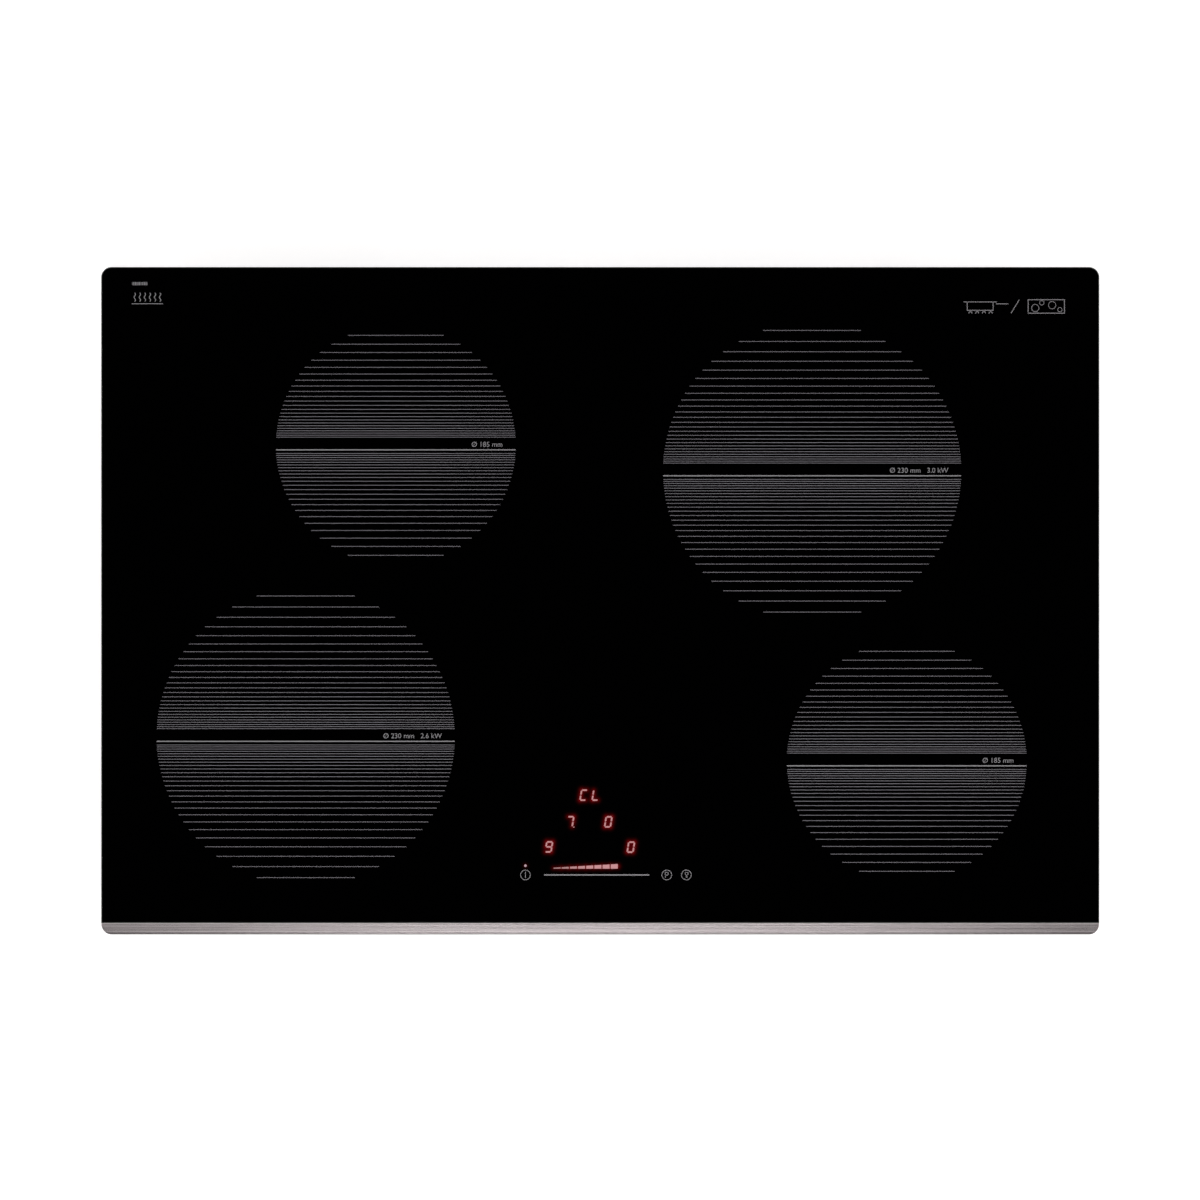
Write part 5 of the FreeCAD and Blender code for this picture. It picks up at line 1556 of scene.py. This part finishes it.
@dataclass
class InductionCoil:
    """One coil with the three springs under it.

    Attributes:
        zone: Its zone's name.
        wire: The spring wire's radius.
        radius: The springs' middle radius.
        turns: How many turns a spring has.
        flat: How much of a turn lies flat at each end.
        ear_reach: How far the ears are outside the mica disc.
        travel: How far the coil can be pressed down; not used.
        eye: The radius of the winding's eye.
        pitch: The distance from turn to turn of the winding.
        rim: How far the mica disc reaches past the winding.
    """

    zone: str
    wire: float = 0.00045
    radius: float = 0.0039
    turns: float = 5.0
    flat: float = 0.8
    ear_reach: float = 0.0060
    travel: float = 0.0025
    eye: float = 0.022
    pitch: float = 0.0033
    rim: float = 0.002

    def build(self) -> None:
        """Dresses the coil and winds it and its springs."""
        for part, finish in (("former", BLACK_PLASTIC), ("ferrites", FERRITE), ("mica", MICA),
                             ("sensor", PALE_SILICONE)):
            dress(finish, f"coil_{part}_{self.zone}")
        middle = middle_of(f"coil_mica_{self.zone}")
        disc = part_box(f"coil_mica_{self.zone}")[1].x - middle.x
        self.winding(middle, disc)
        self.springs(middle, disc)

    def winding(self, middle: Vector, disc: float) -> None:
        """Winds the flat spiral of litz wire in half turns about two centres.

        Args:
            middle: The coil's middle.
            disc: The mica disc's radius.
        """
        low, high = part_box(f"coil_winding_{self.zone}")
        wire, level = (high.z - low.z) / 2, (high.z + low.z) / 2
        start, path = self.eye + wire, []
        for k in range(2 * int((disc - self.rim - wire - start) / self.pitch)):
            turn = 180 * (k % 2)
            centre = middle.x + k % 2 * self.pitch / 2, middle.y
            arc = arc_points(centre, start + k * self.pitch / 2, turn, turn + 180, 36)
            path += [Vector((*point, level)) for point in arc[1 if k else 0:]]
        spiral = Solids()
        spiral.tube(path, wire, 12)
        litz = LitzWire(f"litz_{self.zone}", (0.62, 0.26, 0.12), 0.35, 1.0, (middle.x, middle.y))
        made = spiral.make(f"winding_{self.zone}", litz, "litz_copper", f"coil_{self.zone}")
        smooth(made)
        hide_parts(f"coil_winding_{self.zone}")
        log.info("wound coil %s", self.zone)

    def springs(self, middle: Vector, disc: float) -> None:
        """Winds the three springs.

        Args:
            middle: The coil's middle.
            disc: The mica disc's radius.
        """
        low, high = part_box("coil_springs")
        springs = Solids()
        for angle in (90, 210, 330):
            ear = arc_points(middle.xy, disc + self.ear_reach, angle, angle, 1)[0]
            springs.tube(self.spring_path(ear, low.z + self.wire, high.z - self.wire), self.wire)
        made = springs.make(f"springs_{self.zone}", SPRING_STEEL, "spring_steel")
        smooth(made)
        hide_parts("coil_springs")
        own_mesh(made)
        log.info("wound the springs of coil %s", self.zone)

    def spring_path(self, centre: Point, low: float, high: float) -> list[Vector]:
        """Follows a helix whose first and last turns lie flat.

        Args:
            centre: Its axis.
            low: The level of its first turn.
            high: The level of its last turn.

        Returns:
            The points along it.
        """
        path = []
        for turn, (x, y) in enumerate(arc_points(centre, self.radius, 0, 360 * self.turns,
                                                 int(self.turns * 20))):
            rise = (turn / 20 - self.flat) / (self.turns - 2 * self.flat)
            path.append(Vector((x, y, low + (high - low) * min(1.0, max(0.0, rise)))))
        return path


# ---------------------------------------------------------------- power electronics

@dataclass
class PowerElectronics:
    """The two power boards with what stands on them, and the wires to the coils.

    Attributes:
        small_parts: How many small parts each board carries.
        seed: The seed of their places.
        sheet: The boards' thickness.
        strip: How far the small parts' strip begins and ends from a board's inner edge.
        strip_front: How far back the strip begins.
        strip_back: How far from the board's rear edge it ends.
        sizes: The width and depth of each size of small part.
        heights: The least and greatest height of a small part.
        chokes: How far back each choke stands.
        choke_radius: A choke's outer radius.
        turns: How many turns it has.
        wire: Its wire's radius.
    """

    small_parts: int = 70
    seed: int = 7
    sheet: float = 0.0016
    strip: Point = (0.095, 0.165)
    strip_front: float = 0.100
    strip_back: float = 0.018
    sizes: tuple[Point, ...] = ((0.0032, 0.0016), (0.0016, 0.0032), (0.006, 0.005), (0.002, 0.00125))
    heights: Point = (0.0006, 0.0018)
    chokes: tuple[float, ...] = (-0.060, 0.010, 0.150)
    choke_radius: float = 0.020
    turns: int = 30
    wire: float = 0.0009

    def build(self) -> None:
        """Dresses the boards and adds their small parts and windings."""
        for side in SIDES:
            dress(BOARD_LACQUER, f"power_board_{side}")
            dress(EXTRUDED, f"heatsink_{side}")
            self.add_small_parts(side)
        dress(WHITE_NYLON, "board_standoffs", "coil_posts")
        dress(CHIP_EPOXY, "power_transistors")
        dress(CAN_SLEEVE, "bus_capacitors")
        dress(RED_SILICONE, "coil_leads")
        self.wind_chokes()

    def add_small_parts(self, side: str) -> None:
        """Adds resistors, diodes and small chips to the free strip of a board.

        Args:
            side: The board's side.
        """
        draw, away = random.Random(self.seed), SIDES[side]
        low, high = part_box(f"power_board_{side}")
        level = low.z + self.sheet
        inner = high.x if away < 0 else low.x
        chips, pale = Solids(), Solids()
        for n in range(self.small_parts):
            x = inner + away * draw.uniform(*self.strip)
            y = draw.uniform(self.strip_front, high.y - self.strip_back)
            wide, deep = draw.choice(self.sizes)
            target = chips if n % 3 else pale
            target.slab((x, y), (x + wide, y + deep), level, level + draw.uniform(*self.heights))
        chips.make(f"small_chips_{side}", CHIP_EPOXY, "chip_black")
        pale.make(f"small_parts_{side}", PART_CASE, "capacitor_case")
        log.info("added %d small parts to the %s board", self.small_parts, side)

    def wind_chokes(self) -> None:
        """Winds copper round the ring chokes, in place of their plain rings."""
        low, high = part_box("power_chokes")
        half, level = (high.z - low.z) / 2, (low.z + high.z) / 2
        ring, coil = self.choke_radius - half, half - self.wire
        windings, cores = Solids(), Solids()
        steps, play = self.turns * 14, self.wire * 0.05
        for side in SIDES.values():
            for y in self.chokes:
                centre = side * (high.x - self.choke_radius), y
                path = []
                for k in range(steps):
                    over = 2 * math.pi * self.turns * k / steps
                    point = arc_points(centre, ring + coil * math.cos(over), 360 * k / steps, 0, 1)[0]
                    path.append(Vector((*point, level + coil * math.sin(over))))
                windings.tube(path, self.wire, 6, closed=True)
                core = [Vector((*point, level)) for point in circle_points(centre, ring, 48)]
                cores.tube(core, coil - self.wire - play, 16, closed=True)
        for piece in (windings.make("choke_windings", ENAMEL_COPPER, "choke_copper"),
                      cores.make("choke_cores", FERRITE, "choke_copper")):
            smooth(piece)
            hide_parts("power_chokes")
        log.info("wound the chokes")


@dataclass
class Blowers:
    """The two blowers."""

    def build(self) -> None:
        """Dresses housings, wheels and motors."""
        for side in SIDES:
            dress(BLACK_PLASTIC, f"fan_housing_{side}", f"fan_impeller_{side}")
        dress(MILL_ALUMINIUM, "fan_stators")


@dataclass
class MainsBay:
    """The mains terminals under their cover."""

    def build(self) -> None:
        """Dresses inlet, terminals and cover."""
        dress(TERMINAL_PLASTIC, "cable_inlet", "terminal_block")
        dress(COVER_PLASTIC, "terminal_cover")


@dataclass
class WorktopClamps:
    """The four clamps that hold the cooktop in its worktop."""

    def build(self) -> None:
        """Dresses screws and arms."""
        for corner in CORNER_NAMES:
            dress(BRIGHT_ZINC, f"clamp_screw_{corner}")
            dress(YELLOW_ZINC, f"clamp_bracket_{corner}")


# ---------------------------------------------------------------- studio

@dataclass
class Softbox:
    """One soft light.

    Attributes:
        name: Its name.
        place: Where it hangs.
        wide: Its width.
        deep: Its depth.
        power: Its power in watts.
        color: The colour of its light.
    """

    name: str
    place: tuple[float, float, float]
    wide: float
    deep: float
    power: float
    color: Color = (1.0, 1.0, 1.0)

    def build(self, target: Vector) -> None:
        """Hangs the light.

        Args:
            target: The point that it shines on.
        """
        lamp = bpy.data.lights.new(self.name, "AREA")
        lamp.shape, lamp.size, lamp.size_y = "RECTANGLE", self.wide, self.deep
        lamp.energy, lamp.color = self.power, self.color
        made = bpy.data.objects.new(self.name, lamp)
        made.location = self.place
        made.rotation_euler = (target - Vector(self.place)).to_track_quat("-Z", "Y").to_euler()
        bpy.context.scene.collection.objects.link(made)


@dataclass
class Studio:
    """A plain pale floor, soft lights, and a camera straight above the glass.

    Attributes:
        lens: The camera's focal length in millimetres.
        sensor: The width of its sensor in millimetres.
        field_wide: The width that it sees at the glass, in metres.
        floor_half: Half the floor's width.
        floor_gap: How far the floor is below the pan, so that their faces don't coincide.
        floor_pale: How pale the floor is.
        sky_low: How bright the sky is at the horizon.
        sky_fade: How high it begins to darken and is black, from 0 to 1.
        aside: How far the camera is to the right of and behind the middle.
        lights: The soft lights.
    """

    lens: float = 100.0
    sensor: float = 36.0
    field_wide: float = 0.9255
    floor_half: float = 9.0
    floor_gap: float = 0.0003
    floor_pale: float = 0.72
    sky_low: float = 0.85
    sky_fade: Point = (0.12, 0.8)
    aside: Point = (-0.0002, 0.0006)
    lights: tuple[Softbox, ...] = (
        Softbox("front_light", (0.0, -1.25, 2.35), 0.82, 0.7, 34.8, (1.0, 0.98, 0.98)),
        Softbox("left_light", (-2.3, 0.2, 1.5), 1.4, 1.4, 16.5, (1.0, 0.92, 0.9)),
        Softbox("right_light", (2.3, 0.2, 1.5), 1.4, 1.4, 28.0, (1.0, 0.92, 0.9)),
        Softbox("rear_light", (0.0, 2.4, 1.4), 1.8, 1.0, 26.0),
    )

    def build(self) -> None:
        """Sets up the floor, sky, lights and camera."""
        self.lay_floor()
        self.hang_sky()
        middle = Vector((0.0, 0.0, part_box("glass_plate")[1].z))
        for light in self.lights:
            light.build(middle)
        self.aim_camera(middle)
        view = bpy.context.scene.view_settings
        view.view_transform, view.look, view.exposure = "Standard", "None", 0.0

    def lay_floor(self) -> None:
        """Lays the floor under the pan."""
        level, half = CAD_BOUNDS[0][2] - self.floor_gap, self.floor_half
        mesh = bpy.data.meshes.new("floor")
        corners = [(-half, -half, level), (half, -half, level), (half, half, level), (-half, half, level)]
        mesh.from_pydata(corners, [], [(0, 1, 2, 3)])
        mesh.materials.append(PaleFloor("pale_floor", (self.floor_pale,) * 3, 0.9).material())
        floor = bpy.data.objects.new("floor", mesh)
        bpy.context.scene.collection.objects.link(floor)

    def hang_sky(self) -> None:
        """Makes the sky pale at the horizon and dark overhead, where the glass mirrors it."""
        world = bpy.data.worlds.new("studio_sky")
        bpy.context.scene.world = world
        world.use_nodes = True
        wiring = Wiring(world.node_tree)
        up = wiring.node("SeparateXYZ", {0: wiring.node("TexCoord").outputs["Generated"]}).outputs[2]
        shade = wiring.fade(up, *self.sky_fade, self.sky_low, 0.0)
        color = wiring.node("CombineColor", {0: shade, 1: shade, 2: shade}).outputs[0]
        wiring.give(world.node_tree.nodes["Background"], {"Color": color})

    def aim_camera(self, middle: Vector) -> None:
        """Hangs the camera straight above the glass, far enough for its lens.

        Args:
            middle: The middle of the glass.
        """
        camera = bpy.data.cameras.new("camera")
        camera.lens, camera.sensor_width = self.lens, self.sensor
        made = bpy.data.objects.new("camera", camera)
        made.location = middle + Vector((*self.aside, self.field_wide * self.lens / self.sensor))
        bpy.context.scene.collection.objects.link(made)
        bpy.context.scene.camera = made


# ---------------------------------------------------------------- all together

def main() -> None:
    """Builds the looks of every sub-assembly, then the studio."""
    logging.basicConfig(level=logging.INFO, format="%(name)s: %(message)s")
    assemblies = [GlassTop(), TouchControls(), Casing(), *(InductionCoil(z) for z in ZONE_NAMES),
                  PowerElectronics(), Blowers(), MainsBay(), WorktopClamps(), Studio()]
    for assembly in assemblies:
        assembly.build()
        log.info("built %s", type(assembly).__name__)


if __name__ == "__main__":
    main()
